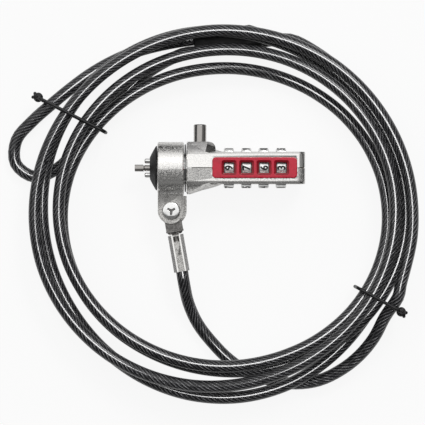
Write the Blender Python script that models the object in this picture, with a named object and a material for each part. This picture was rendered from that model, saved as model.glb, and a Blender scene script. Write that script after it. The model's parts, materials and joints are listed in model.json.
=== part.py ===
"""Laptop cable lock: a four-dial combination head with a turning T-bar, a swivel collar and clevis,
and two metres of plastic-coated steel cable coiled round it, with the cable's eye and its ties.

The lock lies on its back: +Z is up, its axis runs along X with the T-bar at -X, and the push button
points along +Y. The origin is on the surface it lies on, under the middle of the head and its crimp.
"""

import math

import bmesh
import bpy
from mathutils import Matrix, Vector

MM = 0.001
FAR = 40 * MM  # past the end of every rigid piece, for tools that cut right through

# ---------------------------------------------------------------- driving dimensions
TOUCH_GAP = 0.3 * MM  # between pieces that touch
FIT = 0.2 * MM  # radial clearance of the small inner pieces

# stations along the lock's axis, measured from the middle of its length
TIP_X = -30.5 * MM
NOSE_X = -25.1 * MM
COLLAR_FRONT_X = -22.3 * MM
COLLAR_REAR_X = -12.9 * MM
HOUSING_FRONT_X = -11.9 * MM
HOUSING_REAR_X = 30.5 * MM

# slot fitting: T-bar and two pins for the standard 3 mm by 7 mm slot
TBAR_LONG = 6.6 * MM
TBAR_WIDE = 2.4 * MM
TBAR_THICK = 3.1 * MM
SHAFT_RADIUS = 1.1 * MM
SHAFT_NECK_RADIUS = 0.8 * MM
PIN_RADIUS = 0.9 * MM
PIN_SPAN = 5.1 * MM
PIN_REACH = 1.95 * MM
TBAR_TURN = math.radians(90)

# swivel collar: every round piece inside it keeps its distance from the collar's outside
COLLAR_RADIUS = 9.4 * MM
COLLAR_CHAMFER = 0.35 * MM
COLLAR_WALL = 3.1 * MM
COLLAR_RIM = 1.9 * MM  # the wall where the core's front flange sits in it
EAR_THICK = 2.4 * MM
CLEVIS_GAP = 3.8 * MM
EAR_INSET = 0.1 * MM
EAR_REACH = 0.95 * MM  # how far the back ear passes the collar's rear edge
ROOT_SPREAD = 0.7 * MM
ROOT_DROP = 0.9 * MM

# nose
NOSE_LAND_RADIUS = 4.0 * MM
NOSE_EDGE = 1.3 * MM  # how far the rubber's rim stays inside the collar's
CORE_FLANGE_THICK = 0.7 * MM
CORE_TAIL_RIM = 2.0 * MM  # the housing's wall outside the core's rear flange
CORE_TAIL_THICK = 0.9 * MM
HOUSING_WALL = 0.8 * MM
CLIP_THICK = 0.6 * MM
CLIP_RADIUS = 2.2 * MM

# clevis and its screw
PIVOT_CLEAR = 6.0 * MM  # from the collar's outside down to the clevis screw
WASHER_EDGE = 0.8 * MM
PIVOT_RADIUS = 1.5 * MM
PIVOT_HEAD_RADIUS = 3.15 * MM
PIVOT_HEAD_THICK = 1.1 * MM
PIVOT_HEAD_SINK = 0.8 * MM

# cable link and crimp, measured from the pivot along the link
LINK_TILT = math.radians(9.9)
LINK_EYE_RADIUS = 4.2 * MM
LINK_THICK = 3.2 * MM
LINK_WIDTH = 6.1 * MM
LINK_LEDGE = 7.1 * MM
LINK_LEDGE_THICK = 0.6 * MM
LINK_SHANK_RADIUS = 1.3 * MM
LINK_SHANK_END = 13.2 * MM
CRIMP_START = 8.8 * MM
CRIMP_END = 22.1 * MM
CRIMP_WIDTH = 5.6 * MM
CRIMP_CHAMFER = 1.15 * MM
CRIMP_GROOVE_WIDTH = 2.2 * MM
CRIMP_GROOVE_DEPTH = 0.65 * MM
CRIMP_HOLE_LENGTH = 1.8 * MM

# housing
BACK_FLAT_DEPTH = 0.3 * MM
FACE_DEPTH = 1.3 * MM
FACE_CROWN = 0.35 * MM  # how much higher the face is at the seam than at its edges
HOUSING_HALF_HEIGHT = 5.7 * MM
FLARE_START = 1.2 * MM  # behind the housing's front
FLARE_END_X = 0.9 * MM
FLARE_LEAN = 2.5 * MM  # how far the flare's sides lean inwards towards the face
FLARE_STEPS = 5
FLANK_STEPS = 5
SEAM = 0.3 * MM
REAR_ROUND = 2.5 * MM
BOSS_REAR_X = -1.5 * MM
BOSS_HALF_DEPTH = 4.4 * MM
BOSS_CORNER = 2.4 * MM
BOSS_EDGE = 0.9 * MM
BOSS_RIDGE = 3.0 * MM  # from the boss's rear to the ridge where its sloping facet ends
BOSS_RIDGE_DEPTH = 6.5 * MM
BOSS_ROOT = 7.4 * MM  # how far the boss reaches down into the housing
HUB_BORE_END_X = 25.4 * MM

# push button
BUTTON_X = -7.1 * MM
BUTTON_RADIUS = 2.27 * MM
BUTTON_TIP = 15.7 * MM
BUTTON_TRAVEL = 3.0 * MM
BUTTON_FLANGE_RADIUS = 2.75 * MM
BUTTON_FLANGE_THICK = 1.0 * MM
BUTTON_FLANGE_TOP = 4.9 * MM
BUTTON_LOW_EDGE = 4.0 * MM

# dials and code rings
DIAL_COUNT = 4
DIGITS = 10
DIAL_FIRST_X = 3.3 * MM
DIAL_PITCH = 6.24 * MM
DIAL_RADIUS = 7.25 * MM
DIAL_WIDTH = 3.6 * MM
DIAL_GROOVE = 0.35 * MM
DIAL_CHAMFER = 0.3 * MM
DIAL_SIDE_GAP = 0.3 * MM
DIAL_RIM_GAP = 0.25 * MM
HUB_RADIUS = 4.2 * MM
HUB_LENGTH = 5.5 * MM
HUB_WALL = 0.9 * MM
KEY_HEIGHT = 0.6 * MM
KEY_WIDTH = 1.0 * MM
WEB_THICK = 1.2 * MM

# spindle
SPINDLE_RADIUS = 2.3 * MM
SPINDLE_BORE_RADIUS = 1.4 * MM
SPINDLE_END_X = 25.0 * MM
FIN_HEIGHT = 0.75 * MM
FIN_WIDTH = 1.1 * MM
FIN_THICK = 1.1 * MM
CAM_PIN_RADIUS = 0.5 * MM
CAM_PIN_X = 1.6 * MM
SPRING_RADIUS = 1.15 * MM
SPRING_WIRE = 0.36 * MM
SPRING_TURNS = 9
SPRING_SEAT_X = 19.0 * MM

# reset screw at the rear end
RESET_HEAD_RADIUS = 1.8 * MM
RESET_DISC_RADIUS = 2.8 * MM
RESET_DISC_X = 28.2 * MM
RESET_DISC_THICK = 0.8 * MM
RESET_SLOT_WIDTH = 0.6 * MM
RESET_SLOT_DEPTH = 0.7 * MM

# bezel with its four windows
BEZEL_LEFT_X = -2.7 * MM
BEZEL_LENGTH = 30.3 * MM
BEZEL_HEIGHT = 7.4 * MM
BEZEL_CORNER = 1.2 * MM
BEZEL_PROUD = 0.65 * MM  # how far the bezel stands above the housing's face
BEZEL_THICK = 0.9 * MM
BEZEL_BED = 0.2 * MM
WINDOW = 3.9 * MM
WINDOW_RIM = 0.75 * MM
WINDOW_STEP = 0.4 * MM

# click spring behind the dials
CLICK_THICK = 0.25 * MM
CLICK_WIDTH = 2.6 * MM
CLICK_SINK = 1.5 * MM  # how far the channel's floor lies outside the dials

# housing screws
SCREW_RADIUS = 0.8 * MM
SCREW_HEAD_RADIUS = 1.3 * MM
SCREW_HEAD_THICK = 0.9 * MM
SCREW_PLACES = ((-2.2 * MM, 6.0 * MM), (27.6 * MM, 5.2 * MM))

# cable
CABLE_RADIUS = 2.2 * MM
CABLE_PITCH = 2 * CABLE_RADIUS + 0.5 * MM  # least distance between two runs' middles
COIL_CENTRE = (0.8 * MM, -1.1 * MM)
COIL_FIRST_ANGLE = math.radians(290)  # where turn 0 begins, anticlockwise from +X
COIL_TURNS = (0.125, 4.375)  # from the tail's end to the ferrule
POINTS_PER_TURN = 24
POINT_SPACING = 4 * CABLE_RADIUS  # along the tail and the eye
# each loop of the hand-wound coil is an oval of its own: centre x, y, half width, half height
COIL_OVALS = (
    (5.3 * MM, -5.6 * MM, 64.0 * MM, 66.2 * MM),
    (-4.0 * MM, -1.7 * MM, 66.8 * MM, 64.0 * MM),
    (2.4 * MM, -6.6 * MM, 55.8 * MM, 52.0 * MM),
    (3.5 * MM, -4.6 * MM, 63.0 * MM, 56.6 * MM),
    (-1.4 * MM, 0.9 * MM, 65.9 * MM, 72.3 * MM),
    (-6.9 * MM, -8.7 * MM, 68.7 * MM, 62.1 * MM),
)

# the tail's route from the crimp, under the loops and up their outer side, in mm
TAIL_POINTS = (
    (-12.8, -32.1, 7.6),
    (-11.2, -38.1, 4.9),
    (-8.6, -44.3, 3.0),
    (-4.1, -50.5, 2.3),
    (1.1, -56.3, 2.2),
    (7.3, -61.2, 2.2),
    (15.4, -65.0, 2.3),
    (24.6, -66.9, 2.9),
    (33.6, -66.4, 4.2),
    (42.2, -62.9, 6.2),
    (49.8, -57.0, 8.7),
    (55.9, -49.2, 11.4),
    (60.3, -40.2, 13.8),
)

# the eye's route from one bore of the ferrule round to the other, in mm
EYE_POINTS = (
    (-18.0, 56.4, 2.9),
    (-26.5, 54.6, 2.7),
    (-35.0, 51.6, 2.7),
    (-43.0, 47.7, 3.0),
    (-50.0, 43.0, 3.7),
    (-56.4, 38.0, 4.0),
    (-62.4, 33.0, 3.9),
    (-67.6, 28.4, 3.4),
    (-72.0, 23.9, 2.8),
    (-74.5, 19.2, 2.4),
    (-74.6, 14.4, 2.2),
    (-72.3, 10.2, 2.2),
    (-68.3, 8.1, 2.2),
    (-64.0, 8.2, 2.2),
    (-60.0, 10.2, 2.2),
    (-55.4, 14.1, 2.5),
    (-50.6, 19.1, 3.2),
    (-45.8, 24.9, 3.8),
    (-40.0, 31.9, 3.4),
    (-33.6, 39.0, 2.8),
    (-26.4, 45.6, 2.7),
    (-18.2, 50.6, 2.8),
)

# ferrule that closes the eye
FERRULE_LENGTH = 24.4 * MM
FERRULE_WIDTH = 9.2 * MM
FERRULE_THICK = 5.6 * MM
FERRULE_CENTRE = (2.8 * MM, 57.3 * MM)
FERRULE_TILT = math.radians(8.5)
FERRULE_BORE_OFFSET = 2.3 * MM
FERRULE_CUT = (3.6 * MM, 1.9 * MM)  # the corner cut off where the cable's end was trimmed

# twist ties round the bundle
TIE_RADIUS = 0.6 * MM
TIE_ANGLES = {"twist_tie_left": math.radians(150), "twist_tie_right": math.radians(328)}
TIE_LEAN = math.radians(3)
TIE_TWIST_RADIUS = 0.8 * MM
TIE_TWIST_LENGTH = 2.8 * MM
TIE_TWIST_POINTS = 10
TIE_TWIST = math.radians(450)

# ---------------------------------------------------------------- values that follow
AXIS_Z = COLLAR_RADIUS
EAR_WIDTH = COLLAR_REAR_X - COLLAR_FRONT_X
JOURNAL_BORE = COLLAR_RADIUS - COLLAR_WALL
JOURNAL_RADIUS = JOURNAL_BORE - TOUCH_GAP
CORE_FLANGE_RADIUS = COLLAR_RADIUS - COLLAR_RIM - TOUCH_GAP
CORE_TAIL_RADIUS = COLLAR_RADIUS - CORE_TAIL_RIM
NOSE_RADIUS = COLLAR_RADIUS - NOSE_EDGE
WASHER_RADIUS = COLLAR_RADIUS - WASHER_EDGE
PIVOT_DROP = COLLAR_RADIUS + PIVOT_CLEAR
HOUSING_BACK = COLLAR_RADIUS
HOUSING_RADIUS = HOUSING_BACK + BACK_FLAT_DEPTH
HOUSING_FACE = HOUSING_RADIUS - FACE_DEPTH
FACE_HALF = math.sqrt(HOUSING_RADIUS**2 - HOUSING_FACE**2)
BOSS_TOP = COLLAR_RADIUS
BEZEL_TOP = HOUSING_FACE + BEZEL_PROUD
CLICK_FLOOR = DIAL_RADIUS + CLICK_SINK
CRIMP_LOW = (
    PIVOT_DROP + CRIMP_END * math.cos(LINK_TILT) + CRIMP_WIDTH / 2 * math.sin(LINK_TILT)
)
AXIS_Y = (CRIMP_LOW - BUTTON_TIP) / 2
PIVOT_X = (COLLAR_FRONT_X + COLLAR_REAR_X) / 2 + 0.2 * MM
CLEVIS_HALF = CLEVIS_GAP / 2 + EAR_THICK
SHAFT_BORE = SHAFT_RADIUS + TOUCH_GAP
CORE_TAIL_X = HOUSING_FRONT_X + HOUSING_WALL + 0.15 * MM
CORE_END_X = CORE_TAIL_X + CORE_TAIL_THICK
CLIP_X = CORE_END_X - 1.5 * MM
DIALS_X = [DIAL_FIRST_X + DIAL_PITCH * n for n in range(DIAL_COUNT)]
HUB_INNER_RADIUS = HUB_RADIUS - HUB_WALL
MITRE = BUTTON_X - BUTTON_RADIUS + BUTTON_LOW_EDGE  # x - y along the button's sloping foot
MITRE_GAP = TOUCH_GAP
RESET_SEAT_X = RESET_DISC_X + RESET_DISC_THICK + TOUCH_GAP


# ---------------------------------------------------------------- scene and materials
for old in list(bpy.data.objects):
    bpy.data.objects.remove(old, do_unlink=True)

PARTS = bpy.data.collections.new("laptop_cable_lock")
CUTTERS = bpy.data.collections.new("cutters")
for group in (PARTS, CUTTERS):
    bpy.context.scene.collection.children.link(group)

LOCK_AXIS = bpy.data.objects.new("lock_axis", None)
LOCK_AXIS.location = (0, AXIS_Y, AXIS_Z)
PARTS.objects.link(LOCK_AXIS)
LINK_PIVOT = bpy.data.objects.new("link_pivot", None)
LINK_PIVOT.parent = LOCK_AXIS
LINK_PIVOT.location = (PIVOT_X, -PIVOT_DROP, 0)
LINK_PIVOT.rotation_euler = (0, 0, LINK_TILT)
PARTS.objects.link(LINK_PIVOT)


def material(name, colour, roughness, metallic):
    """A plain Principled material."""
    made = bpy.data.materials.new(name)
    made.use_nodes = True
    shader = made.node_tree.nodes["Principled BSDF"]
    shader.inputs["Base Color"].default_value = (*colour, 1)
    shader.inputs["Roughness"].default_value = roughness
    shader.inputs["Metallic"].default_value = metallic
    return made


PLATED_CAST = material("plated_cast", (0.62, 0.61, 0.59), 0.22, 1.0)
STEEL = material("steel", (0.60, 0.60, 0.59), 0.28, 1.0)
BRASS = material("brass", (0.72, 0.55, 0.27), 0.35, 1.0)
RUBBER = material("black_rubber", (0.02, 0.02, 0.02), 0.7, 0.0)
RED_PLASTIC = material("red_plastic", (0.62, 0.01, 0.04), 0.3, 0.0)
DIAL_METAL = material("dial_metal", (0.75, 0.75, 0.74), 0.3, 1.0)
CABLE_JACKET = material("cable_jacket", (0.05, 0.05, 0.055), 0.25, 0.0)
FERRULE_BLACK = material("ferrule_black", (0.015, 0.015, 0.015), 0.4, 0.0)
TIE_BLACK = material("tie_black", (0.012, 0.012, 0.012), 0.5, 0.0)
WASHER_BLACK = material("washer_black", (0.03, 0.03, 0.03), 0.5, 0.0)


# ---------------------------------------------------------------- modelling helpers
def add(name, mesh, finish, parent=LOCK_AXIS, at=(0, 0, 0), turned=(0, 0, 0), smooth=30):
    """Put a mesh in the parts collection as a named piece."""
    piece = bpy.data.objects.new(name, mesh)
    piece.parent = parent
    piece.location = at
    piece.rotation_euler = turned
    piece.data.materials.append(finish)
    mesh.shade_smooth()
    mesh.set_sharp_from_angle(angle=math.radians(smooth))
    PARTS.objects.link(piece)
    return piece


def guide(name, mesh, parent=LOCK_AXIS, at=(0, 0, 0), turned=(0, 0, 0)):
    """Put a mesh in the cutters collection, where it only shapes other pieces."""
    tool = bpy.data.objects.new(name, mesh)
    tool.parent = parent
    tool.location = at
    tool.rotation_euler = turned
    tool.hide_render = True
    tool.display_type = "WIRE"
    CUTTERS.objects.link(tool)
    return tool


def combine(piece, tool, operation):
    """Cut, join or trim a piece with a tool, as a live Boolean."""
    step = piece.modifiers.new(f"{operation.lower()}_{tool.name}", "BOOLEAN")
    step.operation = operation
    step.object = tool
    step.solver = "EXACT"


def cut(piece, *tools):
    for tool in tools:
        combine(piece, tool, "DIFFERENCE")


def join(piece, *tools):
    for tool in tools:
        combine(piece, tool, "UNION")


def mesh_from(work, name):
    """Turn a finished bmesh into a mesh."""
    mesh = bpy.data.meshes.new(name)
    bmesh.ops.recalc_face_normals(work, faces=work.faces[:])
    work.to_mesh(mesh)
    work.free()
    return mesh


def lathe(name, outline, steps=32):
    """A body turned about the X axis. The outline is a closed ring of (x, radius) points."""
    work = bmesh.new()
    corners = [work.verts.new((x, radius, 0)) for x, radius in outline]
    edges = [work.edges.new(pair) for pair in zip(corners, corners[1:] + corners[:1])]
    bmesh.ops.spin(
        work,
        geom=corners + edges,
        cent=(0, 0, 0),
        axis=(1, 0, 0),
        angle=2 * math.pi,
        steps=steps,
        use_merge=True,
        use_normal_flip=False,
        use_duplicate=False,
    )
    bmesh.ops.remove_doubles(work, verts=work.verts[:], dist=0.001 * MM)
    flat = [edge for edge in work.edges if not edge.link_faces]
    bmesh.ops.delete(work, geom=flat, context="EDGES")
    return mesh_from(work, name)


def cylinder(name, radius, start, end, axis="X", steps=24):
    """A plain cylinder between two places on one axis."""
    work = bmesh.new()
    bmesh.ops.create_cone(
        work, cap_ends=True, segments=steps, radius1=radius, radius2=radius, depth=end - start
    )
    turn = {
        "X": Matrix.Rotation(math.pi / 2, 4, "Y"),
        "Y": Matrix.Rotation(-math.pi / 2, 4, "X"),
        "Z": Matrix.Identity(4),
    }[axis]
    middle = Vector({"X": (1, 0, 0), "Y": (0, 1, 0), "Z": (0, 0, 1)}[axis]) * (start + end) / 2
    bmesh.ops.transform(work, matrix=Matrix.Translation(middle) @ turn, verts=work.verts[:])
    return mesh_from(work, name)


def block(name, low, high):
    """A box between two corners."""
    work = bmesh.new()
    size = Vector(high) - Vector(low)
    middle = (Vector(high) + Vector(low)) / 2
    bmesh.ops.create_cube(work, size=1)
    bmesh.ops.transform(
        work, matrix=Matrix.Translation(middle) @ Matrix.Diagonal((*size, 1)), verts=work.verts[:]
    )
    return mesh_from(work, name)


def slab(name, outline, low, high, plane="XY"):
    """A flat outline given a thickness square to its plane."""
    work = bmesh.new()
    place = {
        "XY": lambda u, v, w: (u, v, w),
        "XZ": lambda u, v, w: (u, w, v),
        "YZ": lambda u, v, w: (w, u, v),
    }[plane]
    face = work.faces.new([work.verts.new(place(u, v, low)) for u, v in outline])
    raised = bmesh.ops.extrude_face_region(work, geom=[face])["geom"]
    rise = Vector(place(0, 0, high - low))
    bmesh.ops.translate(
        work, vec=rise, verts=[part for part in raised if isinstance(part, bmesh.types.BMVert)]
    )
    return mesh_from(work, name)


def arc(centre, radius, start, end, steps):
    """Points along an arc, angles in degrees."""
    angles = [math.radians(start + (end - start) * n / steps) for n in range(steps + 1)]
    return [(centre[0] + radius * math.cos(a), centre[1] + radius * math.sin(a)) for a in angles]


def rounded_rectangle(left, low, right, high, corner, steps=4):
    """A rectangle's outline with round corners."""
    return (
        arc((right - corner, high - corner), corner, 0, 90, steps)
        + arc((left + corner, high - corner), corner, 90, 180, steps)
        + arc((left + corner, low + corner), corner, 180, 270, steps)
        + arc((right - corner, low + corner), corner, 270, 360, steps)
    )


def loft(name, rings):
    """A closed body through rings that hold the same number of points."""
    work = bmesh.new()
    loops = [[work.verts.new(point) for point in ring] for ring in rings]
    for near, far in zip(loops, loops[1:]):
        for n in range(len(near)):
            after = (n + 1) % len(near)
            work.faces.new((near[n], near[after], far[after], far[n]))
    bmesh.ops.triangulate(work, faces=work.faces[:])
    work.faces.new(loops[0])
    work.faces.new(loops[-1])
    return mesh_from(work, name)


def tube(name, points, radius, finish, resolution=2):
    """A round wire or cable along its points, as a curve with a bevel and filled ends."""
    route = bpy.data.curves.new(name, "CURVE")
    route.dimensions = "3D"
    route.bevel_depth = radius
    route.bevel_resolution = resolution
    route.use_fill_caps = True
    line = route.splines.new("POLY")
    line.points.add(len(points) - 1)
    for spot, point in zip(line.points, points):
        spot.co = (*point, 1)
    route.materials.append(finish)
    piece = bpy.data.objects.new(name, route)
    PARTS.objects.link(piece)
    return piece


def smooth_route(points, spacing):
    """Points about a spacing apart on the smooth curve through the given ones."""
    fine = []
    padded = [points[0] * 2 - points[1], *points, points[-1] * 2 - points[-2]]
    for before, start, end, after in zip(padded, padded[1:], padded[2:], padded[3:]):
        for n in range(12):
            t = n / 12
            fine.append(
                (
                    start * 2
                    + (end - before) * t
                    + (before * 2 - start * 5 + end * 4 - after) * t**2
                    + (start * 3 - before - end * 3 + after) * t**3
                )
                / 2
            )
    fine.append(points[-1])
    length = sum((b - a).length for a, b in zip(fine, fine[1:]))
    runs = max(2, round(length / spacing))
    picked, walked, goal = [fine[0]], 0.0, length / runs
    for a, b in zip(fine, fine[1:]):
        step = (b - a).length
        while walked + step >= goal and len(picked) < runs:
            picked.append(a.lerp(b, (goal - walked) / step))
            goal += length / runs
        walked += step
    return [*picked, points[-1]]


# ---------------------------------------------------------------- housing
def flank_edge(radius, half_height, lean):
    """How high the round flank of the housing meets its leaning side."""
    low, high = 0.6 * MM, HOUSING_FACE - 0.3 * MM
    for _ in range(30):
        z = (low + high) / 2
        if math.sqrt(radius**2 - z**2) > half_height - lean * z:
            low = z
        else:
            high = z
    return low


def housing_ring(x):
    """The housing's cross-section at a place along its length: a circle with a flat back, flat
    sides that lean inwards along the flare, and a face that rises a little towards the seam."""
    start = HOUSING_FRONT_X + FLARE_START
    flare = min(max((x - start) / (FLARE_END_X - start), 0), 1)
    inset = COLLAR_CHAMFER if x == HOUSING_FRONT_X else 0
    radius = HOUSING_RADIUS - inset
    face, back = HOUSING_FACE - inset, HOUSING_BACK - inset
    half_height = COLLAR_RADIUS + (HOUSING_HALF_HEIGHT - COLLAR_RADIUS) * flare - inset
    lean = FLARE_LEAN * 4 * flare * (1 - flare) / HOUSING_RADIUS
    edge = flank_edge(radius, half_height, lean)
    side = math.sqrt(radius**2 - edge**2)
    turns = [math.degrees(math.asin(height / radius)) for height in (face, edge, back)]
    profile = arc((0, 0), radius, turns[0], turns[1], FLANK_STEPS)
    profile += [(side + lean * edge, 0)]
    profile += arc((0, 0), radius, -turns[1], -turns[2], FLANK_STEPS)
    profile = [(0, face + FACE_CROWN), *profile, (0, -back)]
    profile += [(-y, z) for y, z in reversed(profile[1:-1])]
    left = max(x - (HOUSING_REAR_X - REAR_ROUND), 0)
    drop = REAR_ROUND - math.sqrt(max(REAR_ROUND**2 - left**2, 0))
    squeeze = 1 - drop / HOUSING_FACE
    return [(x, y, z * squeeze) for y, z in profile]


def housing_stations():
    start = HOUSING_FRONT_X + FLARE_START
    flare = [start + (FLARE_END_X - start) * n / FLARE_STEPS for n in range(FLARE_STEPS + 1)]
    rear = [
        HOUSING_REAR_X - REAR_ROUND + REAR_ROUND * math.sin(math.radians(a)) for a in (0, 30, 60, 90)
    ]
    return [HOUSING_FRONT_X, HOUSING_FRONT_X + COLLAR_CHAMFER, *flare, *rear]


def boss_mesh():
    """The lug that guides the push button. A sloping facet blends it into the housing's flank."""
    left = HOUSING_FRONT_X + COLLAR_CHAMFER
    ridge_x = BOSS_REAR_X - BOSS_RIDGE
    root = BOSS_TOP - BOSS_ROOT
    shoulder = BOSS_TOP - BOSS_EDGE
    left_depth = math.sqrt(HOUSING_RADIUS**2 - shoulder**2) - 0.4 * MM
    points = [
        (left, root, left_depth),
        (left, shoulder, left_depth),
        (left, BOSS_TOP, left_depth - BOSS_EDGE),
        (ridge_x, BOSS_TOP, BOSS_RIDGE_DEPTH - BOSS_EDGE),
        (ridge_x, shoulder, BOSS_RIDGE_DEPTH),
        (ridge_x - BOSS_EDGE, FACE_HALF - 0.05 * MM, HOUSING_FACE - 0.05 * MM),
        (BOSS_REAR_X, root, BOSS_HALF_DEPTH),
    ]
    corner = (BOSS_REAR_X - BOSS_CORNER, BOSS_TOP - BOSS_CORNER)
    points += [(x, y, BOSS_HALF_DEPTH) for x, y in arc(corner, BOSS_CORNER, 0, 90, 6)]
    work = bmesh.new()
    for x, y, depth in points:
        work.verts.new((x, y, depth))
        work.verts.new((x, y, -depth))
    hull = bmesh.ops.convex_hull(work, input=work.verts[:])
    inside = [part for part in hull["geom_interior"] if isinstance(part, bmesh.types.BMVert)]
    bmesh.ops.delete(work, geom=inside, context="VERTS")
    return mesh_from(work, "button_boss")


def button_bore():
    """The button's bore. Its bottom slopes as the button's foot does, a little below its lowest."""
    radius = BUTTON_RADIUS + FIT
    low = -BUTTON_LOW_EDGE - BUTTON_TRAVEL - 0.5 * MM
    mesh = cylinder("button_bore", radius, low, BOSS_TOP + MM, "Y")
    for corner in mesh.vertices:
        if corner.co.y < 0:
            corner.co.y += corner.co.x + radius
    return mesh


def build_housing():
    """Two cast halves that meet on the plane through the axis and clamp everything inside."""
    shell = loft("housing_shell", [housing_ring(x) for x in housing_stations()])
    upper = add("housing_upper", shell, PLATED_CAST)
    lower = add("housing_lower", shell.copy(), PLATED_CAST)
    upper_space = block("u", (-FAR, SEAM / 2, -FAR), (FAR, FAR, FAR))
    lower_space = block("l", (-FAR, -FAR, -FAR), (FAR, -SEAM / 2, FAR))
    combine(upper, guide("upper_space", upper_space), "INTERSECT")
    combine(lower, guide("lower_space", lower_space), "INTERSECT")
    join(upper, guide("button_boss", boss_mesh()))

    shared = [
        guide("journal_bore", cylinder("c", JOURNAL_BORE, HOUSING_FRONT_X - MM, CORE_TAIL_X)),
        guide(
            "core_groove",
            cylinder(
                "c", CORE_TAIL_RADIUS + FIT, CORE_TAIL_X - 0.15 * MM, CORE_END_X + 0.15 * MM
            ),
        ),
        guide("spindle_bore", cylinder("c", SPINDLE_RADIUS + FIT, CORE_END_X, DIAL_FIRST_X)),
        guide(
            "hub_bore",
            cylinder("c", HUB_RADIUS + FIT, DIAL_FIRST_X - HUB_LENGTH / 2 - TOUCH_GAP, HUB_BORE_END_X),
        ),
        guide("reset_bore", cylinder("c", RESET_DISC_RADIUS + FIT, SPINDLE_END_X, RESET_SEAT_X, steps=24)),
        guide(
            "reset_mouth",
            cylinder("c", RESET_HEAD_RADIUS + FIT, RESET_SEAT_X - MM, HOUSING_REAR_X + MM, steps=24),
        ),
        guide("button_bore", button_bore(), at=(BUTTON_X, 0, 0)),
        guide(
            "button_flange_bore",
            cylinder(
                "c",
                BUTTON_FLANGE_RADIUS + FIT,
                BUTTON_FLANGE_TOP - BUTTON_FLANGE_THICK - BUTTON_TRAVEL - TOUCH_GAP,
                BUTTON_FLANGE_TOP + TOUCH_GAP,
                "Y",
                24,
            ),
            at=(BUTTON_X, 0, 0),
        ),
        guide(
            "bezel_bed",
            slab(
                "s",
                rounded_rectangle(
                    BEZEL_LEFT_X - TOUCH_GAP,
                    -BEZEL_HEIGHT / 2 - TOUCH_GAP,
                    BEZEL_LEFT_X + BEZEL_LENGTH + TOUCH_GAP,
                    BEZEL_HEIGHT / 2 + TOUCH_GAP,
                    BEZEL_CORNER + TOUCH_GAP,
                ),
                BEZEL_TOP - BEZEL_THICK - BEZEL_BED,
                HOUSING_RADIUS + MM,
            ),
        ),
        guide(
            "click_channel",
            block(
                "b",
                (DIALS_X[0] - 2.8 * MM, -CLICK_WIDTH / 2 - TOUCH_GAP, -CLICK_FLOOR),
                (DIALS_X[-1] + 2.8 * MM, CLICK_WIDTH / 2 + TOUCH_GAP, -DIAL_RADIUS + 0.6 * MM),
            ),
        ),
    ]
    slot_half = DIAL_WIDTH / 2 + DIAL_SIDE_GAP
    for number, x in enumerate(DIALS_X, 1):
        disc = cylinder("c", DIAL_RADIUS + DIAL_RIM_GAP, x - slot_half, x + slot_half, steps=40)
        shared.append(guide(f"dial_slot_{number}", disc))
        opening = block(
            "b",
            (x - WINDOW / 2 - 0.1 * MM, -WINDOW / 2 - 0.1 * MM, HUB_RADIUS + MM),
            (x + WINDOW / 2 + 0.1 * MM, WINDOW / 2 + 0.1 * MM, HOUSING_RADIUS + MM),
        )
        shared.append(guide(f"window_{number}", opening))
    for number, (x, side) in enumerate(screw_places(), 1):
        hole = screw_mesh(SCREW_RADIUS + FIT, SCREW_HEAD_RADIUS + FIT, FIT)
        shared.append(guide(f"screw_hole_{number}", hole, at=(x, 0, side)))
    cut(upper, *shared)
    cut(lower, *shared)


# ---------------------------------------------------------------- screws
def screw_places():
    return [(x, sign * z) for x, z in SCREW_PLACES for sign in (1, -1)]


def screw_mesh(shank, head, spare=0.0):
    """A cap screw driven upwards from the lower half's flat side. The spare length makes its hole."""
    seat = -HOUSING_HALF_HEIGHT + 1.3 * MM
    top = HOUSING_HALF_HEIGHT - 1.6 * MM + spare
    under = seat - SCREW_HEAD_THICK - (2 * MM if spare else 0)
    outline = [(under, 0), (under, head), (seat + spare, head), (seat + spare, shank), (top, shank), (top, 0)]
    mesh = lathe("screw", outline, 16)
    mesh.transform(Matrix.Rotation(math.pi / 2, 4, "Z"))
    return mesh


def build_screws():
    """Four equal cap screws that clamp the two halves together."""
    shape = screw_mesh(SCREW_RADIUS, SCREW_HEAD_RADIUS)
    low = -HOUSING_HALF_HEIGHT + 1.3 * MM - SCREW_HEAD_THICK
    socket = cylinder("c", 0.7 * MM, low - MM, low + 0.45 * MM, "Y", 6)
    for number, (x, side) in enumerate(screw_places(), 1):
        screw = add(f"housing_screw_{number}", shape.copy(), STEEL, at=(x, 0, side))
        cut(screw, guide(f"screw_socket_{number}", socket, at=(x, 0, side)))


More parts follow.
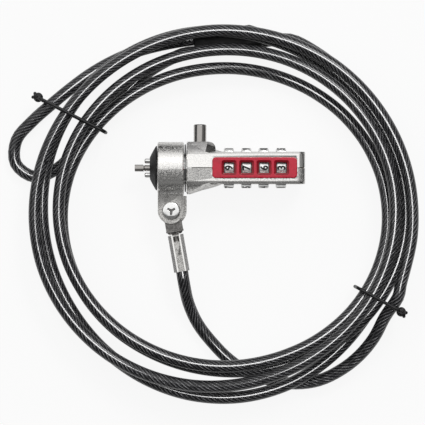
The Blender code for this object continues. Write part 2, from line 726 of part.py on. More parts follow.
# ---------------------------------------------------------------- nose
def build_nose():
    """The fixed core that the collar turns on, its two slot pins, and the rubber bumper."""
    flange_front = COLLAR_FRONT_X
    flange_rear = flange_front + CORE_FLANGE_THICK
    core = add(
        "nose_core",
        lathe(
            "nose_core",
            [
                (CORE_END_X, CORE_TAIL_RADIUS),
                (CORE_TAIL_X, CORE_TAIL_RADIUS),
                (CORE_TAIL_X, JOURNAL_RADIUS),
                (flange_rear, JOURNAL_RADIUS),
                (flange_rear, CORE_FLANGE_RADIUS),
                (flange_front, CORE_FLANGE_RADIUS),
                (flange_front, SHAFT_BORE),
                (CLIP_X - 1.2 * MM, SHAFT_BORE),
                (CLIP_X - 1.2 * MM, CLIP_RADIUS + FIT),
                (CORE_END_X, CLIP_RADIUS + FIT),
            ],
            40,
        ),
        STEEL,
    )
    bumper = add(
        "nose_bumper",
        lathe(
            "nose_bumper",
            [
                (COLLAR_FRONT_X - TOUCH_GAP, NOSE_RADIUS),
                (COLLAR_FRONT_X - 0.8 * MM, 7.75 * MM),
                (COLLAR_FRONT_X - 1.5 * MM, 6.5 * MM),
                (COLLAR_FRONT_X - 2.2 * MM, 5.25 * MM),
                (NOSE_X, NOSE_LAND_RADIUS),
                (NOSE_X, SHAFT_BORE),
                (COLLAR_FRONT_X - TOUCH_GAP, SHAFT_BORE),
            ],
            40,
        ),
        RUBBER,
    )
    for side, place in (("upper", PIN_SPAN / 2), ("lower", -PIN_SPAN / 2)):
        front = NOSE_X - PIN_REACH
        pin = lathe(
            "pin",
            [
                (flange_rear, 0),
                (flange_rear, PIN_RADIUS),
                (front + 0.3 * MM, PIN_RADIUS),
                (front, PIN_RADIUS - 0.35 * MM),
                (front, 0),
            ],
            20,
        )
        join(core, guide(f"slot_pin_{side}", pin, at=(0, place, 0)))
        hole = cylinder("c", PIN_RADIUS + FIT, NOSE_X - MM, flange_rear, steps=20)
        cut(bumper, guide(f"pin_hole_{side}", hole, at=(0, place, 0)))


def build_locking_bar():
    """The T-bar with its long shaft, the clip that holds it in the core and its cam pin."""
    neck_front = TIP_X + TBAR_THICK
    tail = CAM_PIN_X + 0.9 * MM
    shaft = lathe(
        "locking_bar",
        [
            (tail, 0),
            (tail, SHAFT_RADIUS),
            (CLIP_X + CLIP_THICK + FIT, SHAFT_RADIUS),
            (CLIP_X + CLIP_THICK + FIT, SHAFT_NECK_RADIUS),
            (CLIP_X - FIT, SHAFT_NECK_RADIUS),
            (CLIP_X - FIT, SHAFT_RADIUS),
            (neck_front + 0.35 * MM, SHAFT_RADIUS),
            (neck_front + 0.2 * MM, SHAFT_NECK_RADIUS),
            (neck_front - 0.5 * MM, SHAFT_NECK_RADIUS),
            (neck_front - 0.5 * MM, 0),
        ],
        24,
    )
    bar = add("locking_bar", shaft, STEEL)
    width, length = TBAR_WIDE / 2, TBAR_LONG / 2
    head = slab(
        "tbar_head",
        rounded_rectangle(-width, -length, width, length, 0.5 * MM, 3),
        TIP_X,
        neck_front,
        "YZ",
    )
    join(bar, guide("tbar_head", head))
    cut(bar, guide("cam_pin_hole", cylinder("c", CAM_PIN_RADIUS + 0.15 * MM, -3 * MM, 3 * MM, "Z", 16), at=(CAM_PIN_X, 0, 0)))

    pin_half = SPINDLE_RADIUS - 0.1 * MM
    add("cam_pin", cylinder("cam_pin", CAM_PIN_RADIUS, -pin_half, pin_half, "Z", 16), STEEL, at=(CAM_PIN_X, 0, 0))

    clip = add(
        "locking_bar_clip",
        lathe(
            "locking_bar_clip",
            [
                (CLIP_X + CLIP_THICK, CLIP_RADIUS),
                (CLIP_X, CLIP_RADIUS),
                (CLIP_X, SHAFT_NECK_RADIUS + 0.12 * MM),
                (CLIP_X + CLIP_THICK, SHAFT_NECK_RADIUS + 0.12 * MM),
            ],
            24,
        ),
        STEEL,
    )
    mouth = SHAFT_NECK_RADIUS - 0.1 * MM
    cut(clip, guide("clip_mouth", block("b", (CLIP_X - MM, -3 * MM, -mouth), (CLIP_X + CLIP_THICK + MM, 0, mouth))))


# ---------------------------------------------------------------- collar, clevis and link
def build_collar():
    """The plated collar that swivels on the core, with the clevis under it."""
    bore_step = COLLAR_FRONT_X + CORE_FLANGE_THICK + TOUCH_GAP
    outer = COLLAR_RADIUS
    bevel = COLLAR_CHAMFER
    collar = add(
        "swivel_collar",
        lathe(
            "swivel_collar",
            [
                (COLLAR_REAR_X, outer - bevel),
                (COLLAR_REAR_X - bevel, outer),
                (COLLAR_FRONT_X + bevel, outer),
                (COLLAR_FRONT_X, outer - bevel),
                (COLLAR_FRONT_X, COLLAR_RADIUS - COLLAR_RIM),
                (bore_step, COLLAR_RADIUS - COLLAR_RIM),
                (bore_step, JOURNAL_BORE),
                (COLLAR_REAR_X, JOURNAL_BORE),
            ],
            56,
        ),
        PLATED_CAST,
    )
    half = EAR_WIDTH / 2
    middle = (COLLAR_FRONT_X + COLLAR_REAR_X) / 2
    inside = -COLLAR_RADIUS + COLLAR_RIM * 0.8
    outline = [(middle + half - EAR_INSET, inside), (middle - half + EAR_INSET, inside)]
    outline += arc((middle, -PIVOT_DROP), half - EAR_INSET, 180, 360, 16)
    clevis = slab("clevis", outline, -CLEVIS_HALF, CLEVIS_HALF)
    rear = COLLAR_REAR_X + EAR_REACH
    back_half = (rear - COLLAR_FRONT_X) / 2 - EAR_INSET
    back_middle = rear - back_half
    shoulder = -HOUSING_RADIUS - TOUCH_GAP
    outline = [(rear, shoulder), (back_middle - back_half, shoulder)]
    outline += arc((back_middle, -PIVOT_DROP), back_half, 180, 360, 16)
    back_ear = slab("back_ear", outline, -CLEVIS_HALF + 0.05 * MM, -CLEVIS_GAP / 2 - 0.05 * MM)
    root_half = CLEVIS_HALF + ROOT_SPREAD
    root_top = -math.sqrt(COLLAR_RADIUS**2 - root_half**2)
    root_low = -math.sqrt(COLLAR_RADIUS**2 - CLEVIS_HALF**2) - ROOT_DROP
    wall_middle = COLLAR_RADIUS - COLLAR_RIM / 2
    lean = math.degrees(math.asin(root_half / wall_middle))
    root = [(-CLEVIS_HALF, root_low), (-root_half, root_top)]
    root += [(-side, depth) for depth, side in arc((0, 0), wall_middle, 180 - lean, 180 + lean, 10)]
    root += [(root_half, root_top), (CLEVIS_HALF, root_low)]
    fillet = slab(
        "clevis_root",
        [(y, z) for z, y in root],
        COLLAR_FRONT_X + bevel,
        COLLAR_REAR_X - bevel,
        "YZ",
    )
    slot_top = -COLLAR_RADIUS - TOUCH_GAP
    join(collar, guide("clevis", clevis), guide("back_ear", back_ear), guide("clevis_root", fillet))
    cut(
        collar,
        guide(
            "clevis_slot",
            block("b", (-FAR, -FAR, -CLEVIS_GAP / 2), (FAR, slot_top, CLEVIS_GAP / 2)),
        ),
        guide("pivot_bore", cylinder("c", PIVOT_RADIUS + FIT, -10 * MM, 10 * MM, "Z", 24), at=(PIVOT_X, -PIVOT_DROP, 0)),
        guide(
            "pivot_seat",
            cylinder("c", PIVOT_HEAD_RADIUS + FIT, CLEVIS_HALF - PIVOT_HEAD_SINK, 10 * MM, "Z", 32),
            at=(PIVOT_X, -PIVOT_DROP, 0),
        ),
    )
    add(
        "thrust_washer",
        lathe(
            "thrust_washer",
            [
                (HOUSING_FRONT_X - TOUCH_GAP, WASHER_RADIUS),
                (COLLAR_REAR_X + TOUCH_GAP, WASHER_RADIUS),
                (COLLAR_REAR_X + TOUCH_GAP, JOURNAL_BORE),
                (HOUSING_FRONT_X - TOUCH_GAP, JOURNAL_BORE),
            ],
            40,
        ),
        WASHER_BLACK,
    )


def build_pivot_screw():
    """The clevis screw: a low flat head with a three-armed recess, on a plain shank."""
    under = CLEVIS_HALF - PIVOT_HEAD_SINK + FIT
    top = under + PIVOT_HEAD_THICK
    mesh = lathe(
        "pivot_screw",
        [
            (top, 0),
            (top, PIVOT_HEAD_RADIUS - 0.5 * MM),
            (top - 0.12 * MM, PIVOT_HEAD_RADIUS - 0.15 * MM),
            (top - 0.4 * MM, PIVOT_HEAD_RADIUS),
            (under, PIVOT_HEAD_RADIUS),
            (under, PIVOT_RADIUS),
            (-CLEVIS_HALF + 0.2 * MM, PIVOT_RADIUS),
            (-CLEVIS_HALF + 0.2 * MM, 0),
        ],
        32,
    )
    mesh.transform(Matrix.Rotation(-math.pi / 2, 4, "Y"))
    screw = add("pivot_screw", mesh, STEEL, at=(PIVOT_X, -PIVOT_DROP, 0))
    star = []
    for arm in (270, 30, 150):
        star += [
            (0.45 * MM * math.cos(math.radians(arm - 60)), 0.45 * MM * math.sin(math.radians(arm - 60))),
            (1.5 * MM * math.cos(math.radians(arm - 12)), 1.5 * MM * math.sin(math.radians(arm - 12))),
            (1.5 * MM * math.cos(math.radians(arm + 12)), 1.5 * MM * math.sin(math.radians(arm + 12))),
        ]
    cut(screw, guide("key_recess", slab("s", star, top - 0.6 * MM, top + MM), at=(PIVOT_X, -PIVOT_DROP, 0)))


def build_link():
    """The steel link that swings in the clevis, and the crimped sleeve that grips link and cable."""
    half = LINK_WIDTH / 2
    reach = math.sqrt(LINK_EYE_RADIUS**2 - half**2)
    start = math.degrees(math.atan2(-reach, half))
    outline = arc((0, 0), LINK_EYE_RADIUS, start, 180 - start, 24)
    outline += [(-half, -LINK_LEDGE), (half, -LINK_LEDGE)]
    link = add(
        "cable_link",
        slab("cable_link", outline, -LINK_THICK / 2, LINK_THICK / 2),
        PLATED_CAST,
        LINK_PIVOT,
    )
    shoulder_end = CRIMP_START - TOUCH_GAP
    ledge = block(
        "ledge",
        (-half - 0.1 * MM, -LINK_LEDGE - LINK_LEDGE_THICK, -LINK_THICK / 2 - 0.5 * MM),
        (half + 0.1 * MM, -LINK_LEDGE, LINK_THICK / 2 + 0.5 * MM),
    )
    wedge = loft(
        "wedge",
        [
            [(-half, y, -1.6 * MM), (half, y, -1.6 * MM), (half, y, 1.6 * MM), (-half, y, 1.6 * MM)]
            if n == 0
            else [(-2.2 * MM, y, -1.5 * MM), (2.2 * MM, y, -1.5 * MM), (2.2 * MM, y, 1.5 * MM), (-2.2 * MM, y, 1.5 * MM)]
            for n, y in enumerate((-LINK_LEDGE - LINK_LEDGE_THICK / 2, -shoulder_end))
        ],
    )
    shank = cylinder("shank", LINK_SHANK_RADIUS, -LINK_SHANK_END, -LINK_LEDGE, "Y", 16)
    join(
        link,
        guide("link_ledge", ledge, LINK_PIVOT),
        guide("link_wedge", wedge, LINK_PIVOT),
        guide("link_shank", shank, LINK_PIVOT),
    )
    cut(link, guide("link_bore", cylinder("c", PIVOT_RADIUS + FIT, -5 * MM, 5 * MM, "Z", 24), LINK_PIVOT))

    wide = CRIMP_WIDTH / 2
    flat = wide - CRIMP_CHAMFER
    section = [(wide, -flat), (wide, flat), (flat, wide), (-flat, wide), (-wide, flat), (-wide, -flat), (-flat, -wide), (flat, -wide)]
    sleeve = slab("crimp_sleeve", section, -CRIMP_END, -CRIMP_START, "XZ")
    crimp = add("crimp_sleeve", sleeve, PLATED_CAST, LINK_PIVOT)
    groove = CRIMP_GROOVE_WIDTH / 2
    front = wide - CRIMP_GROOVE_DEPTH
    cut(
        crimp,
        guide("crimp_groove", block("b", (-groove, -CRIMP_END - MM, front), (groove, -CRIMP_START + MM, wide + MM)), LINK_PIVOT),
        guide("shank_bore", cylinder("c", LINK_SHANK_RADIUS + FIT, -LINK_SHANK_END - TOUCH_GAP, -CRIMP_START + MM, "Y", 16), LINK_PIVOT),
        guide(
            "shank_window",
            block(
                "b",
                (-groove + 0.1 * MM, -CRIMP_START - 0.5 * MM - CRIMP_HOLE_LENGTH, LINK_SHANK_RADIUS - 0.2 * MM),
                (groove - 0.1 * MM, -CRIMP_START - 0.5 * MM, wide + MM),
            ),
            LINK_PIVOT,
        ),
        guide("crimp_dent", cylinder("c", 0.8 * MM, front - 0.6 * MM, wide + MM, "Z", 12), LINK_PIVOT, at=(0, -LINK_SHANK_END - 3.3 * MM, 0)),
    )


# ---------------------------------------------------------------- button, spindle, dials
def sloping_half(name, gap, keep_low_x):
    """A half space on one side of the 45-degree plane between the button's foot and the spindle."""
    offset = MITRE + (0 if keep_low_x else gap * math.sqrt(2))
    side = -FAR if keep_low_x else FAR
    outline = [
        (offset - FAR, -FAR),
        (offset + FAR, FAR),
        (offset + FAR + side, FAR),
        (offset - FAR + side, -FAR),
    ]
    return slab(name, outline, -FAR, FAR)


def build_button():
    """The push button. Its forked foot straddles the T-bar's shaft and slopes against the spindle."""
    flange_low = BUTTON_FLANGE_TOP - BUTTON_FLANGE_THICK
    outline = [
        (BUTTON_TIP, 0),
        (BUTTON_TIP, BUTTON_RADIUS - 0.3 * MM),
        (BUTTON_TIP - 0.3 * MM, BUTTON_RADIUS),
        (BUTTON_FLANGE_TOP, BUTTON_RADIUS),
        (BUTTON_FLANGE_TOP, BUTTON_FLANGE_RADIUS),
        (flange_low, BUTTON_FLANGE_RADIUS),
        (flange_low, BUTTON_RADIUS),
        (-BUTTON_LOW_EDGE - MM, BUTTON_RADIUS),
        (-BUTTON_LOW_EDGE - MM, 0),
    ]
    mesh = lathe("push_button", outline, 24)
    mesh.transform(Matrix.Rotation(math.pi / 2, 4, "Z"))
    button = add("push_button", mesh, PLATED_CAST, at=(BUTTON_X, 0, 0))
    fork = SHAFT_RADIUS + TOUCH_GAP
    combine(button, guide("foot_slope", sloping_half("s", MITRE_GAP, True)), "INTERSECT")
    cut(
        button,
        guide(
            "fork_gap",
            block("b", (BUTTON_X - 5 * MM, -10 * MM, -fork), (BUTTON_X + 5 * MM, fork + BUTTON_TRAVEL, fork)),
        ),
    )


def cam_slot(name, flip):
    """One of the spindle's two helical slots: as the spindle slides, it turns the cam pin."""
    reach = CAM_PIN_RADIUS + 0.35 * MM
    spread = math.asin((CAM_PIN_RADIUS + 0.15 * MM) / SPINDLE_BORE_RADIUS) + math.radians(4)
    inner, outer = SPINDLE_BORE_RADIUS - 0.4 * MM, SPINDLE_RADIUS + 0.6 * MM
    rings = []
    for n in range(-1, 10):
        share = min(max(n / 8, 0), 1)
        angle = math.pi / 2 + flip + TBAR_TURN * share + (spread if n == 9 else -spread if n == -1 else 0)
        x = CAM_PIN_X - BUTTON_TRAVEL * share
        c, s = math.cos(angle), math.sin(angle)
        rings.append(
            [
                (x - reach, inner * c, inner * s),
                (x + reach, inner * c, inner * s),
                (x + reach, outer * c, outer * s),
                (x - reach, outer * c, outer * s),
            ]
        )
    return guide(name, loft(name, rings))


def build_spindle():
    """The keyed spindle: it slides only when every code ring's gate lines up with its fin."""
    spring_bore = SPRING_RADIUS + SPRING_WIRE / 2 + FIT
    spindle = add(
        "spindle",
        lathe(
            "spindle",
            [
                (SPINDLE_END_X, SPINDLE_RADIUS),
                (-12 * MM, SPINDLE_RADIUS),
                (-12 * MM, SPINDLE_BORE_RADIUS),
                (CAM_PIN_X + 1.4 * MM, SPINDLE_BORE_RADIUS),
                (CAM_PIN_X + 1.4 * MM, 0),
                (SPRING_SEAT_X, 0),
                (SPRING_SEAT_X, spring_bore),
                (SPINDLE_END_X, spring_bore),
            ],
            32,
        ),
        BRASS,
    )
    combine(spindle, guide("head_slope", sloping_half("s", MITRE_GAP, False)), "INTERSECT")
    for number, x in enumerate(DIALS_X, 1):
        rear = x - WEB_THICK / 2 - TOUCH_GAP
        fin = block(
            "b",
            (rear - FIN_THICK, -SPINDLE_RADIUS - FIN_HEIGHT, -FIN_WIDTH / 2),
            (rear, -SPINDLE_RADIUS + 0.4 * MM, FIN_WIDTH / 2),
        )
        join(spindle, guide(f"fin_{number}", fin))
    cut(spindle, cam_slot("cam_slot_near", 0), cam_slot("cam_slot_far", math.pi))


def spring_route():
    """Open coils between the spindle's blind bore and the reset screw's disc."""
    start = SPRING_SEAT_X + TOUCH_GAP + SPRING_WIRE / 2
    end = RESET_DISC_X - TOUCH_GAP - SPRING_WIRE / 2
    points = []
    steps = SPRING_TURNS * 8
    for n in range(steps + 1):
        angle = 2 * math.pi * n / 8
        points.append((start + (end - start) * n / steps, SPRING_RADIUS * math.cos(angle), SPRING_RADIUS * math.sin(angle)))
    return points


def build_spring():
    piece = tube("spindle_spring", spring_route(), SPRING_WIRE / 2, STEEL, 0)
    piece.parent = LOCK_AXIS


def dial_outline(radius):
    """The dial's rim: ten pads for the digits, with a finger groove between each two."""
    points = []
    for digit in range(DIGITS):
        middle = math.pi / 2 + 2 * math.pi * digit / DIGITS
        for turn, drop in ((-13, 0), (-6.5, 0), (0, 0), (6.5, 0), (13, 0), (15.5, 1), (20.5, 1)):
            angle = middle + math.radians(turn)
            reach = radius - drop * DIAL_GROOVE
            points.append((reach * math.cos(angle), reach * math.sin(angle)))
    return points


def build_dials():
    """Four number dials, each on its own code ring."""
    half = DIAL_WIDTH / 2
    edge = half - DIAL_CHAMFER
    rings = []
    for x, radius in (
        (-half, DIAL_RADIUS - DIAL_CHAMFER),
        (-edge, DIAL_RADIUS),
        (edge, DIAL_RADIUS),
        (half, DIAL_RADIUS - DIAL_CHAMFER),
    ):
        rings.append([(x, y, z) for y, z in dial_outline(radius)])
    dial_mesh = loft("dial", rings)
    hub_half = HUB_LENGTH / 2
    web = WEB_THICK / 2
    web_radius = SPINDLE_RADIUS + FIT
    hub_mesh = lathe(
        "code_ring",
        [
            (hub_half, HUB_RADIUS),
            (-hub_half, HUB_RADIUS),
            (-hub_half, HUB_INNER_RADIUS),
            (-web, HUB_INNER_RADIUS),
            (-web, web_radius),
            (web, web_radius),
            (web, HUB_INNER_RADIUS),
            (hub_half, HUB_INNER_RADIUS),
        ],
        24,
    )
    bore_mesh = cylinder("dial_bore", HUB_RADIUS + FIT, -half - MM, half + MM)
    for number, x in enumerate(DIALS_X, 1):
        dial = add(f"dial_{number}", dial_mesh.copy(), DIAL_METAL, at=(x, 0, 0))
        ring = add(f"code_ring_{number}", hub_mesh.copy(), BRASS, at=(x, 0, 0))
        key_top = HUB_RADIUS + KEY_HEIGHT
        cut(dial, guide(f"dial_bore_{number}", bore_mesh, at=(x, 0, 0)))
        cut(
            dial,
            guide(
                f"keyway_{number}",
                block(
                    "b",
                    (-half - MM, -KEY_WIDTH / 2 - FIT, -key_top - FIT),
                    (half + MM, KEY_WIDTH / 2 + FIT, key_top + FIT),
                ),
                at=(x, 0, 0),
            ),
        )
        for side in (1, -1):
            low, high = sorted((side * (HUB_RADIUS - 0.4 * MM), side * key_top))
            key = block("b", (-half + 0.4 * MM, -KEY_WIDTH / 2, low), (half - 0.4 * MM, KEY_WIDTH / 2, high))
            join(ring, guide(f"key_{number}_{side}", key, at=(x, 0, 0)))
        gate = block(
            "b",
            (-web - MM, -HUB_INNER_RADIUS - 0.05 * MM, -FIN_WIDTH / 2 - FIT),
            (web + MM, 0, FIN_WIDTH / 2 + FIT),
        )
        cut(ring, guide(f"gate_{number}", gate, at=(x, 0, 0)))


def build_reset_screw():
    """The quarter-turn screw in the rear end that frees the dials for a new number."""
    disc_rear = RESET_DISC_X + RESET_DISC_THICK
    face = HOUSING_REAR_X - 0.3 * MM
    screw = add(
        "reset_screw",
        lathe(
            "reset_screw",
            [
                (face, 0),
                (face, RESET_HEAD_RADIUS),
                (disc_rear, RESET_HEAD_RADIUS),
                (disc_rear, RESET_DISC_RADIUS),
                (RESET_DISC_X, RESET_DISC_RADIUS),
                (RESET_DISC_X, 0),
            ],
            24,
        ),
        BRASS,
    )
    slot = RESET_SLOT_WIDTH / 2
    cut(screw, guide("driver_slot", block("b", (face - RESET_SLOT_DEPTH, -5 * MM, -slot), (face + MM, 5 * MM, slot))))


# ---------------------------------------------------------------- bezel and click spring
def build_bezel():
    """The red frame with a stepped window over each dial."""
    right = BEZEL_LEFT_X + BEZEL_LENGTH
    half = BEZEL_HEIGHT / 2
    low = BEZEL_TOP - BEZEL_THICK
    bevel = 0.25 * MM
    rings = []
    for z, inset in ((low, 0), (BEZEL_TOP - bevel, 0), (BEZEL_TOP, bevel)):
        outline = rounded_rectangle(
            BEZEL_LEFT_X + inset, -half + inset, right - inset, half - inset, BEZEL_CORNER, 5
        )
        rings.append([(x, y, z) for x, y in outline])
    bezel = add("window_bezel", loft("window_bezel", rings), RED_PLASTIC)
    for number, x in enumerate(DIALS_X, 1):
        inner, outer = WINDOW / 2, WINDOW / 2 + WINDOW_RIM
        cut(
            bezel,
            guide(f"sight_{number}", block("b", (x - inner, -inner, 0), (x + inner, inner, 20 * MM))),
            guide(
                f"sight_step_{number}",
                loft(
                    "s",
                    [
                        [(x - outer, -outer, BEZEL_TOP + 0.01 * MM), (x + outer, -outer, BEZEL_TOP + 0.01 * MM),
                         (x + outer, outer, BEZEL_TOP + 0.01 * MM), (x - outer, outer, BEZEL_TOP + 0.01 * MM)],
                        [(x - inner - 0.2 * MM, -inner - 0.2 * MM, BEZEL_TOP - WINDOW_STEP), (x + inner + 0.2 * MM, -inner - 0.2 * MM, BEZEL_TOP - WINDOW_STEP),
                         (x + inner + 0.2 * MM, inner + 0.2 * MM, BEZEL_TOP - WINDOW_STEP), (x - inner - 0.2 * MM, inner + 0.2 * MM, BEZEL_TOP - WINDOW_STEP)],
                    ],
                ),
            ),
        )


def build_click_spring():
    """A leaf spring behind the dials, with a bump that each dial clicks over."""
    floor = -CLICK_FLOOR + FIT
    crest = -DIAL_RADIUS - TOUCH_GAP
    rise = crest - floor - CLICK_THICK
    line = [(DIALS_X[0] - 2.5 * MM, floor)]
    for x in DIALS_X:
        line += [(x - 1.4 * MM, floor), (x - 0.5 * MM, floor + rise), (x + 0.5 * MM, floor + rise), (x + 1.4 * MM, floor)]
    line += [(DIALS_X[-1] + 2.5 * MM, floor)]
    outline = line + [(x, z + CLICK_THICK) for x, z in reversed(line)]
    add("click_spring", slab("click_spring", outline, -CLICK_WIDTH / 2, CLICK_WIDTH / 2, "XZ"), STEEL)


# ---------------------------------------------------------------- ferrule, cable and ties
def ferrule_point(along, across, up=0.0):
    """A point of the ferrule in the shared frame: along its length, across its width, and up."""
    c, s = math.cos(FERRULE_TILT), math.sin(FERRULE_TILT)
    x = FERRULE_CENTRE[0] + along * c - across * s
    y = FERRULE_CENTRE[1] + along * s + across * c
    return Vector((x, y, FERRULE_THICK / 2 + up))


def build_ferrule():
    """The flat sleeve pressed over both runs of the cable to close its eye."""
    corner = FERRULE_THICK / 2 - 0.05 * MM
    outline = rounded_rectangle(
        -FERRULE_WIDTH / 2, -FERRULE_THICK / 2, FERRULE_WIDTH / 2, FERRULE_THICK / 2, corner, 6
    )
    half = FERRULE_LENGTH / 2
    rings = []
    for x, scale in ((-half, 0.9), (-half + 0.5 * MM, 1), (half - 0.5 * MM, 1), (half, 0.9)):
        rings.append([(x, y * scale, z * scale) for y, z in outline])
    piece = add("eye_ferrule", loft("eye_ferrule", rings), FERRULE_BLACK, None)
    place = (*FERRULE_CENTRE, FERRULE_THICK / 2)
    turned = (0, 0, FERRULE_TILT)
    piece.location = place
    piece.rotation_euler = turned
    along, across = FERRULE_CUT
    corner_cut = [
        (half + MM, FERRULE_WIDTH / 2 - across - MM * across / along),
        (half + MM, FERRULE_WIDTH / 2 + MM),
        (half - along - MM * along / across, FERRULE_WIDTH / 2 + MM),
    ]
    tool = slab("corner_cut", corner_cut, -FERRULE_THICK, FERRULE_THICK)
    cut(piece, guide("ferrule_corner", tool, None, place, turned))


def oval_radius(turn):
    """The coil's radius at a turn: the loops pass steadily from one oval to the next."""
    first = min(int(turn), len(COIL_OVALS) - 2)
    share = turn - first
    x, y, a, b = (p + (q - p) * share for p, q in zip(COIL_OVALS[first], COIL_OVALS[first + 1]))
    angle = COIL_FIRST_ANGLE + 2 * math.pi * turn
    c, s = math.cos(angle), math.sin(angle)
    square = (c / a) ** 2 + (s / b) ** 2
    line = x * c / a**2 + y * s / b**2
    rest = (x / a) ** 2 + (y / b) ** 2 - 1
    return (line + math.sqrt(line**2 - square * rest)) / square


def coil_spot(turn, height=0.0):
    angle = COIL_FIRST_ANGLE + 2 * math.pi * turn
    radius = oval_radius(turn)
    return Vector((COIL_CENTRE[0] + radius * math.cos(angle), COIL_CENTRE[1] + radius * math.sin(angle), height))


def resting_height(here, after, below):
    """How high a run's middle must lie between two points to clear the runs that it lies on."""
    height = CABLE_RADIUS
    for n in range(5):
        spot = here.lerp(after, n / 4)
        for other, reach in below:
            side = math.hypot(spot.x - other.x, spot.y - other.y)
            if side < reach:
                height = max(height, other.z + math.sqrt(reach**2 - side**2))
    return height


def eased(heights, place):
    """The highest value nearby, then the mean of those: a long low hump that never dips below."""
    last = len(heights) - 1
    peaks = []
    for n in range(place - 2, place + 3):
        middle = min(max(n, 0), last)
        peaks.append(max(heights[max(middle - 2, 0) : middle + 3]))
    return sum(w * p for w, p in zip((1, 2, 3, 2, 1), peaks)) / 9


def coil_points(below):
    """The loops, laid one on another from the ferrule's end, as the cable was wound."""
    first, last = COIL_TURNS
    count = round((last - first) * POINTS_PER_TURN)
    turns = [last - (last - first) * n / count for n in range(count + 1)]
    flat = [coil_spot(turn) for turn in turns]
    raw, laid = [], []
    for n, here in enumerate(flat):
        after = flat[min(n + 1, count)]
        before = flat[max(n - 1, 0)]
        height = max(resting_height(here, after, below), resting_height(before, here, below))
        done = n - POINTS_PER_TURN + 2
        lower = [(spot, CABLE_PITCH) for spot in laid[: max(done, 0)]]
        near = [(spot, reach) for spot, reach in lower if (spot - here).xy.length < 4 * CABLE_PITCH]
        for (a, reach), (b, _) in zip(near, near[1:]):
            if (a - b).length > 20 * MM:
                continue
            for k in range(5):
                other = a.lerp(b, k / 4)
                side = (other - here).xy.length
                if side < reach:
                    height = max(height, other.z + math.sqrt(reach**2 - side**2))
        raw.append(height)
        ready = n - 4
        if ready >= 0:
            laid.append(Vector((flat[ready].x, flat[ready].y, eased(raw, ready))))
    for ready in range(len(laid), count + 1):
        laid.append(Vector((flat[ready].x, flat[ready].y, eased(raw, ready))))
    return laid


def least_gap(points):
    """The least gap between runs of one tube, measured on points along it."""
    fine = []
    for a, b in zip(points, points[1:]):
        fine += [a.lerp(b, k / 6) for k in range(6)]
    skip = POINTS_PER_TURN * 3
    least = min(
        (fine[i] - fine[j]).length for i in range(len(fine)) for j in range(i + skip, len(fine))
    )
    return least - 2 * CABLE_RADIUS


def tie_points(angle, runs):
    """One wire laid round everything that crosses a radius of the coil, its ends twisted together."""
    across = Vector((math.cos(angle), math.sin(angle), 0))
    side = Vector((-math.sin(angle), math.cos(angle), 0))
    rise = Vector((0, 0, 1))
    centre = Vector((*COIL_CENTRE, 0))
    reaches, heights = [], []
    for run in runs:
        for a, b in zip(run, run[1:]):
            for k in range(4):
                spot = a.lerp(b, k / 4) - centre
                if abs(spot.dot(side)) < 4 * MM and spot.dot(across) > 0:
                    reaches.append(spot.dot(across))
                    heights.append(spot.z)
    away = CABLE_RADIUS + TIE_RADIUS + TOUCH_GAP
    inner, outer = min(reaches) - away, max(reaches) + away
    top = max(heights) + away
    middle = (TIE_RADIUS + top) / 2
    outline = [(outer, middle + TIE_TWIST_RADIUS)]
    outline += rounded_rectangle(inner, TIE_RADIUS, outer, top, 2 * MM, 3)
    outline += [(outer, middle - TIE_TWIST_RADIUS)]
    loop = []
    for reach, height in outline:
        lean = (reach - (inner + outer) / 2) * math.tan(TIE_LEAN)
        loop.append(centre + across * reach + side * lean + rise * height)
    root = (loop[0] + loop[-1]) / 2
    ends = []
    for phase in (math.pi / 2, -math.pi / 2):
        twist = []
        for n in range(1, TIE_TWIST_POINTS + 1):
            turn = phase + TIE_TWIST * n / TIE_TWIST_POINTS
            round_off = (side * math.cos(turn) + rise * math.sin(turn)) * TIE_TWIST_RADIUS
            twist.append(root + across * TIE_TWIST_LENGTH * n / TIE_TWIST_POINTS + round_off)
        ends.append(twist)
    return [*reversed(ends[0]), *loop, *ends[1]]


